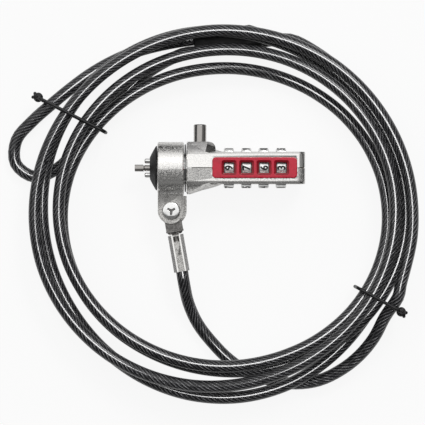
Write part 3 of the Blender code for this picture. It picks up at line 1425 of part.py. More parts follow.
def build_cable():
    """The tail from the crimp, the coil, the eye and the ties, and their measured lengths."""
    tilt = Vector((math.sin(LINK_TILT), -math.cos(LINK_TILT), 0))
    pivot = Vector((PIVOT_X, AXIS_Y - PIVOT_DROP, AXIS_Z))
    mouth = pivot + tilt * (CRIMP_END + TOUCH_GAP)
    tail = [mouth, mouth + tilt * 2 * CABLE_RADIUS]
    tail += [Vector(point) * MM for point in TAIL_POINTS]

    half = FERRULE_LENGTH / 2 + TOUCH_GAP
    leave = ferrule_point(-half, FERRULE_BORE_OFFSET)
    back = ferrule_point(-half, -FERRULE_BORE_OFFSET)
    straight = ferrule_point(0, 0) - ferrule_point(2 * CABLE_RADIUS, 0)
    eye = [leave, leave + straight]
    eye += [Vector(point) * MM for point in EYE_POINTS]
    eye += [back + straight, back]
    eye_route = [leave, *smooth_route(eye[1:-1], POINT_SPACING), back]

    below = [(spot, CABLE_PITCH) for spot in smooth_route(eye, 2 * MM)]
    under_tail = smooth_route(tail, 2 * MM)
    below += [(spot, CABLE_PITCH) for spot in under_tail if spot.z < 3.2 * MM and spot.x < 30 * MM]
    ferrule_reach = FERRULE_THICK / 2 + CABLE_RADIUS + 0.5 * MM
    for n in range(13):
        for across in (-FERRULE_BORE_OFFSET, 0, FERRULE_BORE_OFFSET):
            along = -FERRULE_LENGTH / 2 + FERRULE_LENGTH * n / 12
            below.append((ferrule_point(along, across), ferrule_reach))
    tie_reach = TIE_RADIUS + CABLE_RADIUS + TOUCH_GAP + 0.1 * MM
    for angle in TIE_ANGLES.values():
        for n in range(40):
            reach = (40 + n) * MM
            spot = Vector((COIL_CENTRE[0] + reach * math.cos(angle), COIL_CENTRE[1] + reach * math.sin(angle), TIE_RADIUS))
            below.append((spot, tie_reach))

    coil = coil_points(below)
    entry = ferrule_point(half, -FERRULE_BORE_OFFSET)
    coil = [entry, entry - straight, *coil]
    joint_end = coil[-1]
    lead = (coil[-1] - coil[-2]).normalized()
    tail_end = joint_end + lead * TOUCH_GAP
    tail += [tail_end + lead * 2 * CABLE_RADIUS, tail_end]
    tail_route = [mouth, *smooth_route(tail[1:-1], POINT_SPACING), tail_end]

    tube("cable_tail", tail_route, CABLE_RADIUS, CABLE_JACKET, 3)
    tube("cable_coil", coil, CABLE_RADIUS, CABLE_JACKET, 1)
    tube("cable_eye", eye_route, CABLE_RADIUS, CABLE_JACKET, 3)
    for name, angle in TIE_ANGLES.items():
        tube(name, tie_points(angle, (coil, eye_route, tail_route)), TIE_RADIUS, TIE_BLACK, 1)

    for name, run in (("tail", tail_route), ("coil", coil), ("eye", eye_route)):
        length = sum((b - a).length for a, b in zip(run, run[1:]))
        print(f"{name}: {len(run)} points, {length:.4f} m, z {min(p.z for p in run):.4f} to {max(p.z for p in run):.4f}")
    print(f"least gap of the coil to itself: {least_gap(coil) / MM:.2f} mm")


build_housing()
build_screws()
build_nose()
build_locking_bar()
build_collar()
build_pivot_screw()
build_link()
build_button()
build_spindle()
build_spring()
build_dials()
build_reset_screw()
build_bezel()
build_click_spring()
build_ferrule()
build_cable()
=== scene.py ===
# %% [markdown]
# # A laptop cable lock, dressed for its portrait
#
# This notebook takes the engineer's model of a laptop cable lock (a plated lock head with four
# number dials, and two metres of coated steel cable wound round it) and gives it its real
# surfaces. The frame of the model stays exactly where it is. Each step below first says what the
# piece is on the real lock, then builds it.

# %% Load the frame
import json
import math

import bmesh
import bpy
from mathutils import Matrix, Vector


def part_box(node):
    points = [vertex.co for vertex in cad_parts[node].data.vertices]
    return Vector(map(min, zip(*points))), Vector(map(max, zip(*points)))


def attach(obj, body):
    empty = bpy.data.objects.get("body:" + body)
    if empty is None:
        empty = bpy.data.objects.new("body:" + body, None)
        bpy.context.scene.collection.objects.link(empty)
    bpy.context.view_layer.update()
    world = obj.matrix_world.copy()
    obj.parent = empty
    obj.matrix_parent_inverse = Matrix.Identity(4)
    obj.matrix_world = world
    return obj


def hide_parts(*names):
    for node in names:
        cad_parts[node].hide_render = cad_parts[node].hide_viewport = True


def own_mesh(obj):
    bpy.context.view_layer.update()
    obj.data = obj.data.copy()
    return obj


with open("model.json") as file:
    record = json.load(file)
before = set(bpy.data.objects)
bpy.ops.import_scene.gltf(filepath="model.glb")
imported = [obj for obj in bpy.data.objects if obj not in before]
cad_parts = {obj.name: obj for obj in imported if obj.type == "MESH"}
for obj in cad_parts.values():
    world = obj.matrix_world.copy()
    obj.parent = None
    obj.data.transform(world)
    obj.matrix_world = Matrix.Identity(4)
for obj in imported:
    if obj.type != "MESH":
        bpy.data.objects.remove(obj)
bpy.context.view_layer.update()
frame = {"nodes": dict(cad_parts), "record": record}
MM = 0.001

# %% [markdown]
# ## The camera
#
# The lock was photographed from straight above, lying on its back. A long lens, 0.85 m up, keeps
# the tall head and the flat cable at nearly the same scale, as a product photographer would. The
# numbers put 153 mm of table across the square picture.

# %% Camera straight above
PICTURE_WIDTH = 153 * MM
LENS_HEIGHT = 0.85
AXIS_HEIGHT = 9.4 * MM

camera_data = bpy.data.cameras.new("camera")
camera_data.sensor_width = 36
camera_data.lens = 36 * LENS_HEIGHT / PICTURE_WIDTH
camera = bpy.data.objects.new("camera", camera_data)
camera.location = (-2.6 * MM, -5.0 * MM, AXIS_HEIGHT + LENS_HEIGHT)
bpy.context.scene.collection.objects.link(camera)
bpy.context.scene.camera = camera
print("lens:", round(camera_data.lens), "mm")

# %% [markdown]
# ## Materials: shared effects
#
# Two effects turn up in more than one finish, so each is a node group with its own sliders: fine
# casting grain, which makes die-cast zinc sparkle, and a soft mottling of gloss, because no
# surface is evenly shiny. Both are noise in three dimensions, read at the piece's own coordinates,
# so they need no map and show no seam.


# %% Helpers for node groups
def new_group(name, inputs, outputs):
    """An empty shader group whose sockets are all single numbers, with a default for each input."""
    group = bpy.data.node_groups.new(name, "ShaderNodeTree")
    for label, value in inputs.items():
        socket = group.interface.new_socket(label, in_out="INPUT", socket_type="NodeSocketFloat")
        socket.default_value = value
    for label in outputs:
        group.interface.new_socket(label, in_out="OUTPUT", socket_type="NodeSocketFloat")
    return group, group.nodes.new("NodeGroupInput"), group.nodes.new("NodeGroupOutput")


def wire(tree, *pairs):
    """Join sockets, given as (from, to) pairs."""
    for start, end in pairs:
        tree.links.new(start, end)


def math_node(tree, operation, *values):
    """A Math node with its inputs linked or set."""
    node = tree.nodes.new("ShaderNodeMath")
    node.operation = operation
    for socket, value in zip(node.inputs, values):
        if isinstance(value, bpy.types.NodeSocket):
            tree.links.new(value, socket)
        else:
            socket.default_value = value
    return node.outputs[0]


def noise(tree, scale, detail, roughness=0.5):
    """A noise texture on the piece's own coordinates, its scale linked or set."""
    place = tree.nodes.new("ShaderNodeTexCoord")
    node = tree.nodes.new("ShaderNodeTexNoise")
    node.inputs["Detail"].default_value = detail
    node.inputs["Roughness"].default_value = roughness
    if isinstance(scale, bpy.types.NodeSocket):
        tree.links.new(scale, node.inputs["Scale"])
    else:
        node.inputs["Scale"].default_value = scale
    tree.links.new(place.outputs["Object"], node.inputs["Vector"])
    return node.outputs["Fac"]


def remap(tree, value, low, high, to_low, to_high):
    """Map one range onto another, clamped."""
    node = tree.nodes.new("ShaderNodeMapRange")
    node.clamp = True
    for label, number in (("From Min", low), ("From Max", high), ("To Min", to_low), ("To Max", to_high)):
        node.inputs[label].default_value = number
    tree.links.new(value, node.inputs["Value"])
    return node.outputs["Result"]


# %% Casting grain and mottled gloss
grain_group, grain_in, grain_out = new_group(
    "cast_grain", {"Strength": 0.5, "Scale": 2600.0}, ["Height", "Speck"]
)
fine = noise(grain_group, grain_in.outputs["Scale"], detail=1.5)
height = math_node(grain_group, "MULTIPLY", fine, grain_in.outputs["Strength"])
speck = remap(grain_group, fine, 0.42, 0.62, 0.0, 1.0)
wire(grain_group, (height, grain_out.inputs["Height"]), (speck, grain_out.inputs["Speck"]))

mottle_group, mottle_in, mottle_out = new_group(
    "mottled_gloss", {"Low": 0.2, "High": 0.3, "Scale": 300.0}, ["Roughness"]
)
patches = noise(mottle_group, mottle_in.outputs["Scale"], detail=3.0)
span = math_node(mottle_group, "SUBTRACT", mottle_in.outputs["High"], mottle_in.outputs["Low"])
share = remap(mottle_group, patches, 0.3, 0.7, 0.0, 1.0)
scaled = math_node(mottle_group, "MULTIPLY", span, share)
rough = math_node(mottle_group, "ADD", mottle_in.outputs["Low"], scaled)
wire(mottle_group, (rough, mottle_out.inputs["Roughness"]))
print("groups:", [group.name for group in bpy.data.node_groups])


# %% [markdown]
# ## Materials: the finishes
#
# Every finish starts from the same plain recipe. The Principled shader's own sockets carry what is
# even all over, and the groups feed what changes across the surface: the gloss wanders between
# two roughness values, and the grain's specks may be darker (tint), duller (pits) and raised
# (bump, in metres).


# %% A finish from a colour, a gloss range and a grain
def finish(name, colour, gloss, metallic=1.0, grain=0.2, grain_scale=2600.0, bump=0.01 * MM, **more):
    """A Principled material with mottled gloss, and grain in its colour, gloss and bump."""
    material = bpy.data.materials.new(name)
    material.use_nodes = True
    tree = material.node_tree
    shader = tree.nodes["Principled BSDF"]
    shader.inputs["Metallic"].default_value = metallic
    shader.inputs["Specular IOR Level"].default_value = more.get("shine", 0.5)
    mottle = tree.nodes.new("ShaderNodeGroup")
    mottle.node_tree = mottle_group
    mottle.inputs["Low"].default_value, mottle.inputs["High"].default_value = gloss
    cast = tree.nodes.new("ShaderNodeGroup")
    cast.node_tree = grain_group
    cast.inputs["Strength"].default_value = grain
    cast.inputs["Scale"].default_value = grain_scale
    dulled = math_node(tree, "MULTIPLY", cast.outputs["Speck"], more.get("pits", 0.0))
    roughness = math_node(tree, "ADD", mottle.outputs["Roughness"], dulled)
    mix = tree.nodes.new("ShaderNodeMix")
    mix.data_type = "RGBA"
    mix.inputs["A"].default_value = (*colour, 1)
    mix.inputs["B"].default_value = (*(part * (1 - more.get("tint", 0.1)) for part in colour), 1)
    raised = tree.nodes.new("ShaderNodeBump")
    raised.inputs["Distance"].default_value = bump
    raised.inputs["Strength"].default_value = 0.6
    wire(
        tree,
        (roughness, shader.inputs["Roughness"]),
        (cast.outputs["Speck"], mix.inputs["Factor"]),
        (mix.outputs["Result"], shader.inputs["Base Color"]),
        (cast.outputs["Height"], raised.inputs["Height"]),
        (raised.outputs["Normal"], shader.inputs["Normal"]),
    )
    return material


# %% The metals
satin_nickel = finish("satin_nickel", (0.88, 0.87, 0.85), (0.1, 0.18), grain=0.35, bump=0.03 * MM)
cast_nickel = finish(
    "cast_nickel", (0.86, 0.85, 0.83), (0.1, 0.16), grain=1.0, grain_scale=2300.0, bump=0.03 * MM,
    tint=0.06, pits=0.5,
)
# rough cast metal: a rough finish on the collar's ears, and in the crimp's slot its darker colour is painted
# shade
rough_cast_and_slot_shade = finish(
    "rough_cast_and_slot_shade", (0.62, 0.61, 0.59), (0.2, 0.3), grain=1.0, grain_scale=2300.0, bump=0.05 * MM,
    tint=0.3, pits=0.3,
)
soft_edge = finish(
    "soft_edge", (0.8, 0.79, 0.78), (0.42, 0.55), grain=0.6, grain_scale=2300.0, bump=0.04 * MM, tint=0.2
)
# steel for the screw's recess: duller, and its dark grey is painted shade
recess_shade_steel = finish(
    "recess_shade_steel", (0.26, 0.255, 0.25), (0.3, 0.42), grain=0.5, grain_scale=2400.0, bump=0.03 * MM, tint=0.4
)
# the link's cast metal, coloured dark grey as painted shade
cast_in_painted_shade = finish(
    "cast_in_painted_shade", (0.24, 0.232, 0.225), (0.28, 0.42), grain=0.6, grain_scale=1600.0, bump=0.03 * MM,
    tint=0.4,
)
bright_steel = finish("bright_steel", (0.88, 0.88, 0.87), (0.12, 0.2), grain_scale=3000.0)
burnished_steel = finish("burnished_steel", (0.4, 0.385, 0.37), (0.08, 0.14), grain_scale=3000.0)
# the brass pieces sit inside the head, and their dark colour is painted shade
brass_in_painted_shade = finish("brass_in_painted_shade", (0.2, 0.15, 0.08), (0.25, 0.35), grain_scale=3000.0)
dial_silver = finish("dial_silver", (0.9, 0.9, 0.89), (0.26, 0.36), tint=0.08)

# %% The rubber, the mouldings and the paint
moulded_rubber = finish(
    "moulded_rubber", (0.018, 0.018, 0.019), (0.5, 0.65), metallic=0.0, grain=0.6, grain_scale=2200.0,
    bump=0.03 * MM, tint=0.2,
)
black_coating = finish(
    "black_coating", (0.004, 0.004, 0.005), (0.4, 0.55), metallic=0.0, grain=0.5, grain_scale=1500.0,
    bump=0.03 * MM, tint=0.2,
)
red_moulding = finish(
    "red_moulding", (0.66, 0.012, 0.045), (0.16, 0.24), metallic=0.0, grain_scale=900.0, tint=0.12
)
# darker red for the sloping window frames: painted shade
red_recess_shade = finish(
    "red_recess_shade", (0.3, 0.002, 0.012), (0.25, 0.35), metallic=0.0, grain_scale=900.0, tint=0.15
)
black_paint = finish(
    "black_paint", (0.006, 0.006, 0.006), (0.4, 0.55), metallic=0.0, grain_scale=1500.0, shine=0.2
)
washer_plastic = finish(
    "washer_plastic", (0.03, 0.03, 0.03), (0.45, 0.55), metallic=0.0, grain_scale=1500.0
)
print("finishes:", [material.name for material in bpy.data.materials if material.users])

# %% [markdown]
# ## The cable
#
# The cable is a rope of galvanised wires inside a clear, smoke-coloured jacket. The jacket is as
# smooth as glass, and the twisted strands show through it as slanting grey streaks. One round tube
# is enough for the shape: a circle is carried along the cable's route and the rings are bridged.
# The tube's own map says how far along and how far round each point is, so the streaks can
# follow the twist round every bend.

# %% The cable's route, in millimetres, from the crimp to the eye
CABLE_DIAMETER = 4.4 * MM
TAIL_ROUTE = [
    (-13.5, -26.5, 9.4), (-12.8, -30.8, 9.4), (-11.3, -37.8, 5), (-7.9, -45.4, 2.8),
    (-2.6, -52.3, 2.2), (3.6, -58.5, 2.2), (10.9, -63.2, 2.2), (19.1, -66, 2.5), (27.7, -67, 3.3),
    (36.1, -65.7, 4.7), (43.7, -61.9, 6.6), (50.2, -56.6, 8.9), (55.4, -50, 11.2), (59.2, -42.4, 13.2),
    (63.6, -35.4, 16),
]
COIL_ROUTE = [
    (15.5, 56.9, 2.8), (19.9, 57.5, 2.8), (27.9, 57.1, 2.2), (42, 48, 2.2), (53.2, 35.6, 2.4),
    (60.8, 20.7, 2.7), (64.4, 4.5, 3.7), (64.1, -12.3, 4.9), (59.9, -28.7, 6.4), (51.8, -43.9, 7.3),
    (40, -57.1, 7.8), (24.8, -66.9, 7.8), (7, -71.6, 7.8), (-11.5, -70.6, 7.2), (-28.6, -64.2, 6.4),
    (-43.1, -53.4, 5.6), (-54, -39.5, 5.9), (-61.1, -23.6, 6.4), (-64, -6.8, 7.1), (-62.8, 10.1, 7.4),
    (-57.4, 26, 7.7), (-48, 39.9, 7.9), (-35.4, 50.6, 8.1), (-20.5, 57.5, 8.2), (-4.6, 60.3, 8.2),
    (11.4, 59.1, 8.2), (26.6, 54.2, 8.2), (40.4, 46.1, 8.4), (52.1, 34.8, 8.8), (61, 20.8, 9.6),
    (66.1, 4.6, 10.7), (66.4, -12.7, 11.6), (61.3, -29.3, 12.1), (51.3, -43.5, 12.2),
    (37.8, -53.9, 12), (22.2, -60, 11.3), (6.1, -62.2, 10), (-9.7, -60.7, 8.4), (-24.6, -55.6, 6.9),
    (-37.8, -47.1, 6.3), (-48.2, -35.4, 6.2), (-54.8, -21.4, 7.2), (-56.9, -6.1, 8), (-54.4, 8.6, 8.6),
    (-47.9, 21.6, 8.7), (-38.7, 32, 8.7), (-27.7, 39.7, 8.6), (-15.8, 44.6, 8.3), (-3.4, 46.9, 7.2),
    (9.2, 46.8, 5.5), (21.9, 44.1, 3.7), (34.1, 38.6, 3.2), (45.2, 30, 4.2), (54, 18.3, 6.3),
    (59.4, 4, 8.5), (60.2, -11.6, 10.7), (56, -26.9, 12.8), (47.4, -40.2, 14.2), (35.3, -50.4, 14.9),
    (21.1, -56.9, 15), (5.9, -59.9, 14.9), (-9.4, -59.1, 14.6), (-24.1, -54.5, 14.1),
    (-37.2, -46.4, 13.5), (-47.7, -35.1, 13.1), (-54.8, -21.3, 13.1), (-57.7, -6.2, 13.1),
    (-56.2, 9, 13.2), (-50.8, 22.9, 13.1), (-42, 34.8, 12.8), (-30.8, 44, 11.9), (-17.9, 50.2, 10.9),
    (-4, 53.3, 10.3), (10.4, 53.2, 10.8), (24.5, 49.8, 11.7), (37.7, 42.9, 12.8), (49, 32.7, 13.9),
    (57.5, 19.5, 15.3), (62.1, 4.3, 16.7), (62.2, -11.9, 17.8), (57.9, -27.7, 18.2),
    (49.4, -41.9, 18.4), (37.4, -53.4, 18.4), (22.9, -61.7, 18.1), (6.5, -66.4, 17.1),
    (-10.8, -66.8, 15.3), (-27.8, -62.5, 13.4), (-43.2, -53.6, 12), (-55.5, -40.5, 11.7),
    (-63.5, -24.5, 12), (-66.4, -7, 12.4), (-64.3, 10.4, 12.7), (-57.7, 26.2, 12.9), (-47.6, 39.5, 13),
    (-34.8, 49.8, 13.1), (-20.2, 56.7, 13.1), (-4.5, 60, 13.2), (11.5, 59.5, 13.3), (27.1, 55.3, 13.7),
    (41.5, 47.4, 14.3), (53.6, 35.9, 15.1), (62.7, 21.4, 15.6), (67.9, 4.8, 15.9), (68.6, -13.1, 16),
    (64.6, -30.9, 16),
]
EYE_ROUTE = [
    (-9.9, 57.7, 2.8), (-14.3, 57.1, 2.8), (-23, 55.4, 2.8), (-31.5, 53, 2.7), (-39.7, 49.4, 2.8),
    (-47.3, 44.9, 3.4), (-54.4, 39.6, 3.9), (-61.3, 33.9, 3.9), (-68, 28, 3.4), (-73.7, 21.3, 2.6),
    (-74, 12.7, 2.2), (-67, 7.9, 2.2), (-58.9, 11, 2.2), (-52.5, 17.1, 2.9), (-46.7, 23.8, 3.8),
    (-41.1, 30.7, 3.5), (-35.2, 37.3, 2.9), (-28.9, 43.6, 2.7), (-21.6, 48.7, 2.8), (-13.6, 52.5, 2.8),
    (-9.2, 53.2, 2.8),
]


# %% A smooth line through the route
SEAT = 0.6 * MM  # how far a cable's end runs into its fitting


def smooth_line(points, spacing):
    """Points about a spacing apart on a smooth curve through the given ones."""
    knots = [Vector(point) * MM for point in points]
    knots = [knots[0] * 2 - knots[1], *knots, knots[-1] * 2 - knots[-2]]
    line = []
    for before, start, end, after in zip(knots, knots[1:], knots[2:], knots[3:]):
        steps = max(2, round((end - start).length / spacing))
        for n in range(steps):
            t = n / steps
            line.append(
                (
                    start * 2
                    + (end - before) * t
                    + (before * 2 - start * 5 + end * 4 - after) * t**2
                    + (start * 3 - before - end * 3 + after) * t**3
                )
                / 2
            )
    return [*line, knots[-2]]


def seated(line):
    """The line with both ends carried a little way into their fittings."""
    first = line[0] + (line[0] - line[1]).normalized() * SEAT
    last = line[-1] + (line[-1] - line[-2]).normalized() * SEAT
    return [first, *line, last]


def line_length(line):
    """The length of a line of points."""
    return sum((after - here).length for here, after in zip(line, line[1:]))


# %% Carry a circle along a line
def swept_tube(name, line, radius, sides=20):
    """A closed tube whose map holds the metres along it and the share of a turn round it."""
    work = bmesh.new()
    layer = work.loops.layers.uv.new("along_and_round")
    normal = Vector((0, 0, 1))
    rings, walked, marks = [], 0.0, []
    for n, spot in enumerate(line):
        ahead = line[min(n + 1, len(line) - 1)] - line[max(n - 1, 0)]
        heading = ahead.normalized()
        normal = (normal - heading * normal.dot(heading)).normalized()
        side = heading.cross(normal)
        turned = Matrix((normal, side, heading)).transposed().to_4x4()
        circle = bmesh.ops.create_circle(work, segments=sides, radius=radius)["verts"]
        bmesh.ops.transform(work, matrix=Matrix.Translation(spot) @ turned, verts=circle)
        if n:
            walked += (spot - line[n - 1]).length
        rings.append(circle)
        marks.append(walked)
    for n, (near, far) in enumerate(zip(rings, rings[1:])):
        for k in range(sides):
            after = (k + 1) % sides
            face = work.faces.new((near[k], near[after], far[after], far[k]))
            face.smooth = True
            for loop, along, turn in zip(face.loops, (n, n, n + 1, n + 1), (k, k + 1, k + 1, k)):
                loop[layer].uv = (marks[along], turn / sides)
    for ring in (rings[0], rings[-1]):
        work.faces.new(ring)
    bmesh.ops.recalc_face_normals(work, faces=work.faces[:])
    mesh = bpy.data.meshes.new(name)
    work.to_mesh(mesh)
    work.free()
    tube = bpy.data.objects.new(name, mesh)
    bpy.context.scene.collection.objects.link(tube)
    return tube


# %% [markdown]
# The streaks are a wave that depends on both map values, so its crests run round the cable like
# the stripes on a barber's pole. A finer wave inside it stands for the single wires of each strand.
# The base layer is dark metal, and the clear jacket is a coat over it.

# %% Steel strands under a smoke-coloured jacket
STRANDS = 11
WIRES_IN_A_STRAND = 4
LAY_LENGTH = 22 * MM
smoke_jacket = bpy.data.materials.new("smoke_jacket")
smoke_jacket.use_nodes = True
tree = smoke_jacket.node_tree
shader = tree.nodes["Principled BSDF"]
place = tree.nodes.new("ShaderNodeUVMap")
place.uv_map = "along_and_round"
parts = tree.nodes.new("ShaderNodeSeparateXYZ")
wire(tree, (place.outputs["UV"], parts.inputs[0]))
lengthwise = math_node(tree, "DIVIDE", parts.outputs["X"], LAY_LENGTH)
twist = math_node(tree, "SUBTRACT", parts.outputs["Y"], lengthwise)
strand = math_node(tree, "MULTIPLY", twist, STRANDS * math.tau)
strand_wave = math_node(tree, "SINE", strand)
single_wire = math_node(tree, "MULTIPLY", twist, STRANDS * WIRES_IN_A_STRAND * math.tau)
wires = math_node(tree, "SINE", single_wire)
flecks = noise(tree, 420.0, detail=4.0, roughness=0.7)
crest = remap(tree, strand_wave, 0.1, 1.0, 0.0, 1.0)
fleck_share = remap(tree, flecks, 0.38, 0.62, 0.15, 1.0)
streak = math_node(tree, "MULTIPLY", crest, fleck_share)
wire_share = remap(tree, wires, -1.0, 1.0, 0.55, 1.0)
streak = math_node(tree, "MULTIPLY", streak, wire_share)
mix = tree.nodes.new("ShaderNodeMix")
mix.data_type = "RGBA"
mix.inputs["A"].default_value = (0.005, 0.005, 0.006, 1)
mix.inputs["B"].default_value = (0.15, 0.15, 0.155, 1)
wire(tree, (streak, mix.inputs["Factor"]), (mix.outputs["Result"], shader.inputs["Base Color"]))
shader.inputs["Metallic"].default_value = 0.5
shader.inputs["Roughness"].default_value = 0.38
shader.inputs["Specular IOR Level"].default_value = 0.1
shader.inputs["Coat Weight"].default_value = 1.0
shader.inputs["Coat Roughness"].default_value = 0.12
shader.inputs["Coat IOR"].default_value = 1.42
raised = tree.nodes.new("ShaderNodeBump")
raised.inputs["Distance"].default_value = 0.0002
raised.inputs["Strength"].default_value = 0.7
height = math_node(tree, "ADD", strand_wave, math_node(tree, "MULTIPLY", wires, 0.25))
wire(tree, (height, raised.inputs["Height"]), (raised.outputs["Normal"], shader.inputs["Normal"]))

# %% The one long cable, wound and eyed
CABLE_STEP = 2.0 * MM
cable_route = seated(smooth_line(TAIL_ROUTE + COIL_ROUTE[::-1], CABLE_STEP))
cable = swept_tube("security_cable", cable_route, CABLE_DIAMETER / 2)
cable.data.materials.append(smoke_jacket)
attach(cable, "link")
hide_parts("cable_tail", "cable_coil")

eye_route = seated(smooth_line(EYE_ROUTE, CABLE_STEP))
eye = swept_tube("cable_eye_loop", eye_route, CABLE_DIAMETER / 2)
eye.data.materials.append(smoke_jacket)
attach(eye, "link")
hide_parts("cable_eye")
print("cable:", round(line_length(cable_route), 3), "m, eye:", round(line_length(eye_route), 3), "m")

# %% [markdown]
# ## The wire ties
#
# Two plastic-coated wires hold the coil. Each goes round all the runs, and its ends are twisted
# together on the outside and wound into a knot the size of a peppercorn.

# %% Two ties
TIE_RADIUS = 0.6 * MM
TIE_STEP = 0.35 * MM
TIE_SIDES = 10
LEFT_TIE = [
    (-66.6, 38, 8.3), (-66.5, 37.6, 8.9), (-66.5, 37, 9.1), (-66.6, 36.4, 8.9), (-66.4, 36, 8.3),
    (-66.1, 36.1, 7.8), (-65.6, 36.4, 7.5), (-65, 36.8, 7.8), (-64.7, 36.8, 8.3), (-64.6, 36.5, 8.9),
    (-64.6, 35.9, 9.1), (-64.6, 35.9, 14.1), (-64.4, 35.7, 15.1), (-63.7, 35.4, 15.8),
    (-62.8, 35, 16.1), (-43.1, 24.9, 16.1), (-42.2, 24.5, 15.8), (-41.6, 24.1, 15.1),
    (-41.3, 24, 14.1), (-41.3, 24, 2.6), (-41.6, 24.1, 1.6), (-42.2, 24.5, 0.9), (-43.1, 24.9, 0.6),
    (-62.8, 35, 0.6), (-63.7, 35.4, 0.9), (-64.4, 35.7, 1.6), (-64.6, 35.9, 2.6), (-64.6, 35.9, 7.5),
    (-65.1, 35.5, 7.8), (-65.5, 35.5, 8.3), (-65.6, 35.8, 8.9), (-65.6, 36.4, 9.1), (-65.5, 37.1, 8.9),
    (-65.6, 37.4, 8.3), (-66, 37.3, 7.8), (-66.5, 37, 7.5), (-67.1, 36.6, 7.8), (-67.4, 36.6, 8.3),
]
RIGHT_TIE = [
    (66.2, -42.4, 11), (66.1, -42, 11.6), (66.2, -41.4, 11.8), (66.2, -40.8, 11.6), (66.1, -40.4, 11),
    (65.7, -40.5, 10.4), (65.2, -40.8, 10.2), (64.7, -41.1, 10.4), (64.3, -41.2, 11),
    (64.2, -40.8, 11.6), (64.3, -40.2, 11.8), (64.3, -40.2, 19.4), (64, -40.1, 20.4),
    (63.4, -39.7, 21.1), (62.5, -39.2, 21.4), (50.9, -32.8, 21.4), (50, -32.3, 21.1),
    (49.4, -32, 20.4), (49.1, -31.8, 19.4), (49.1, -31.8, 2.6), (49.4, -32, 1.6), (50, -32.3, 0.9),
    (50.9, -32.8, 0.6), (62.5, -39.2, 0.6), (63.4, -39.7, 0.9), (64, -40.1, 1.6), (64.3, -40.2, 2.6),
    (64.3, -40.2, 10.2), (64.8, -39.9, 10.4), (65.2, -39.8, 11), (65.3, -40.2, 11.6),
    (65.2, -40.8, 11.8), (65.1, -41.4, 11.6), (65.3, -41.8, 11), (65.6, -41.7, 10.4),
    (66.2, -41.4, 10.2), (66.7, -41.1, 10.4), (67.1, -41, 11),
]
for node, route in (("twist_tie_left", LEFT_TIE), ("twist_tie_right", RIGHT_TIE)):
    tie = swept_tube("wire_" + node, smooth_line(route, TIE_STEP), TIE_RADIUS, TIE_SIDES)
    tie.data.materials.append(black_coating)
    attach(tie, "link")
    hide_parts(node)


# %% The knots
KNOT_TURNS = 5
KNOT_REACH = 1.15 * MM
KNOT_STEPS = 160
KNOT_FIRST, KNOT_SPAN = 0.12, 0.76  # shares of the half circle from the knot's top to its foot


def wound_knot(name, middle):
    """A wire wound round and round into a small ball."""
    line = []
    for n in range(KNOT_STEPS + 1):
        tilt = math.pi * (KNOT_FIRST + KNOT_SPAN * n / KNOT_STEPS)
        turn = math.tau * KNOT_TURNS * n / KNOT_STEPS
        outwards = Vector((math.sin(tilt) * math.cos(turn), math.sin(tilt) * math.sin(turn), math.cos(tilt)))
        line.append(Vector(middle) * MM + KNOT_REACH * outwards)
    knot = swept_tube(name, line, TIE_RADIUS, TIE_SIDES)
    knot.data.materials.append(black_coating)
    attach(knot, "link")
    return knot


wound_knot("wire_knot_left", (-65.4, 36.5, 8.3))
wound_knot("wire_knot_right", (65.2, -40.7, 11.0))


# %% [markdown]
# ## Pieces that keep the frame's shape
#
# Most of the lock head is die-cast or turned metal, and the frame already has its true form. A
# frame piece is loose triangles, so a copy is welded, its flat triangles are joined into flat
# faces, and its sharp edges get a fine rounding. That rounding is what catches the light on real
# cast and turned parts.


# %% Weld, round and smooth a copy of a frame piece
WELD = 0.002 * MM
CREASE = math.radians(30)


def refined(node, body, material, rounding):
    """A finished copy of one frame piece, standing in its place."""
    mesh = frame["nodes"][node].data.copy()
    work = bmesh.new()
    work.from_mesh(mesh)
    bmesh.ops.remove_doubles(work, verts=work.verts[:], dist=WELD)
    bmesh.ops.dissolve_limit(work, angle_limit=math.radians(1), verts=work.verts[:], edges=work.edges[:])
    work.to_mesh(mesh)
    work.free()
    mesh.materials.clear()
    mesh.materials.append(material)
    mesh.shade_smooth()
    mesh.set_sharp_from_angle(angle=CREASE)
    piece = bpy.data.objects.new("finished_" + node, mesh)
    bpy.context.scene.collection.objects.link(piece)
    if rounding:
        bevel = piece.modifiers.new("rounding", "BEVEL")
        bevel.width = rounding
        bevel.segments = 2
        bevel.limit_method = "ANGLE"
        bevel.angle_limit = math.radians(35)
        bevel.harden_normals = True
    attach(piece, body)
    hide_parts(node)
    return piece


# %% Dress the frame pieces
bodies = frame["record"]["behaviour"]["bodies"]
body_of_node = {node: body for body, nodes in bodies.items() for node in nodes}
slot_of_node = {part["node"]: part["material_slot"] for part in frame["record"]["subparts"]}
finishes = {
    "plated_cast": satin_nickel, "steel": bright_steel, "brass": brass_in_painted_shade, "black_rubber": moulded_rubber,
    "red_plastic": red_moulding, "dial_metal": dial_silver, "ferrule_black": black_coating,
    "tie_black": black_coating, "washer_black": washer_plastic,
}
own_finish = {
    # the link's dark colour is painted shade
    "housing_lower": cast_nickel, "swivel_collar": cast_nickel, "cable_link": cast_in_painted_shade,
    "locking_bar": burnished_steel, "push_button": burnished_steel,
}
USUAL_ROUNDING = 0.12 * MM
roundings = {"eye_ferrule": 0.3 * MM, "nose_bumper": 0.25 * MM, "spindle_spring": 0}
already = {"cable_tail", "cable_coil", "cable_eye", "twist_tie_left", "twist_tie_right", "window_bezel"}
for node in sorted(set(frame["nodes"]) - already):
    slot = slot_of_node[node]
    look = own_finish.get(node, finishes[slot])
    refined(node, body_of_node[node], look, roundings.get(node, USUAL_ROUNDING))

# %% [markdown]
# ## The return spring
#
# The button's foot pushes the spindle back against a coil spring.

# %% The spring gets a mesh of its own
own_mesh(bpy.data.objects["finished_spindle_spring"])

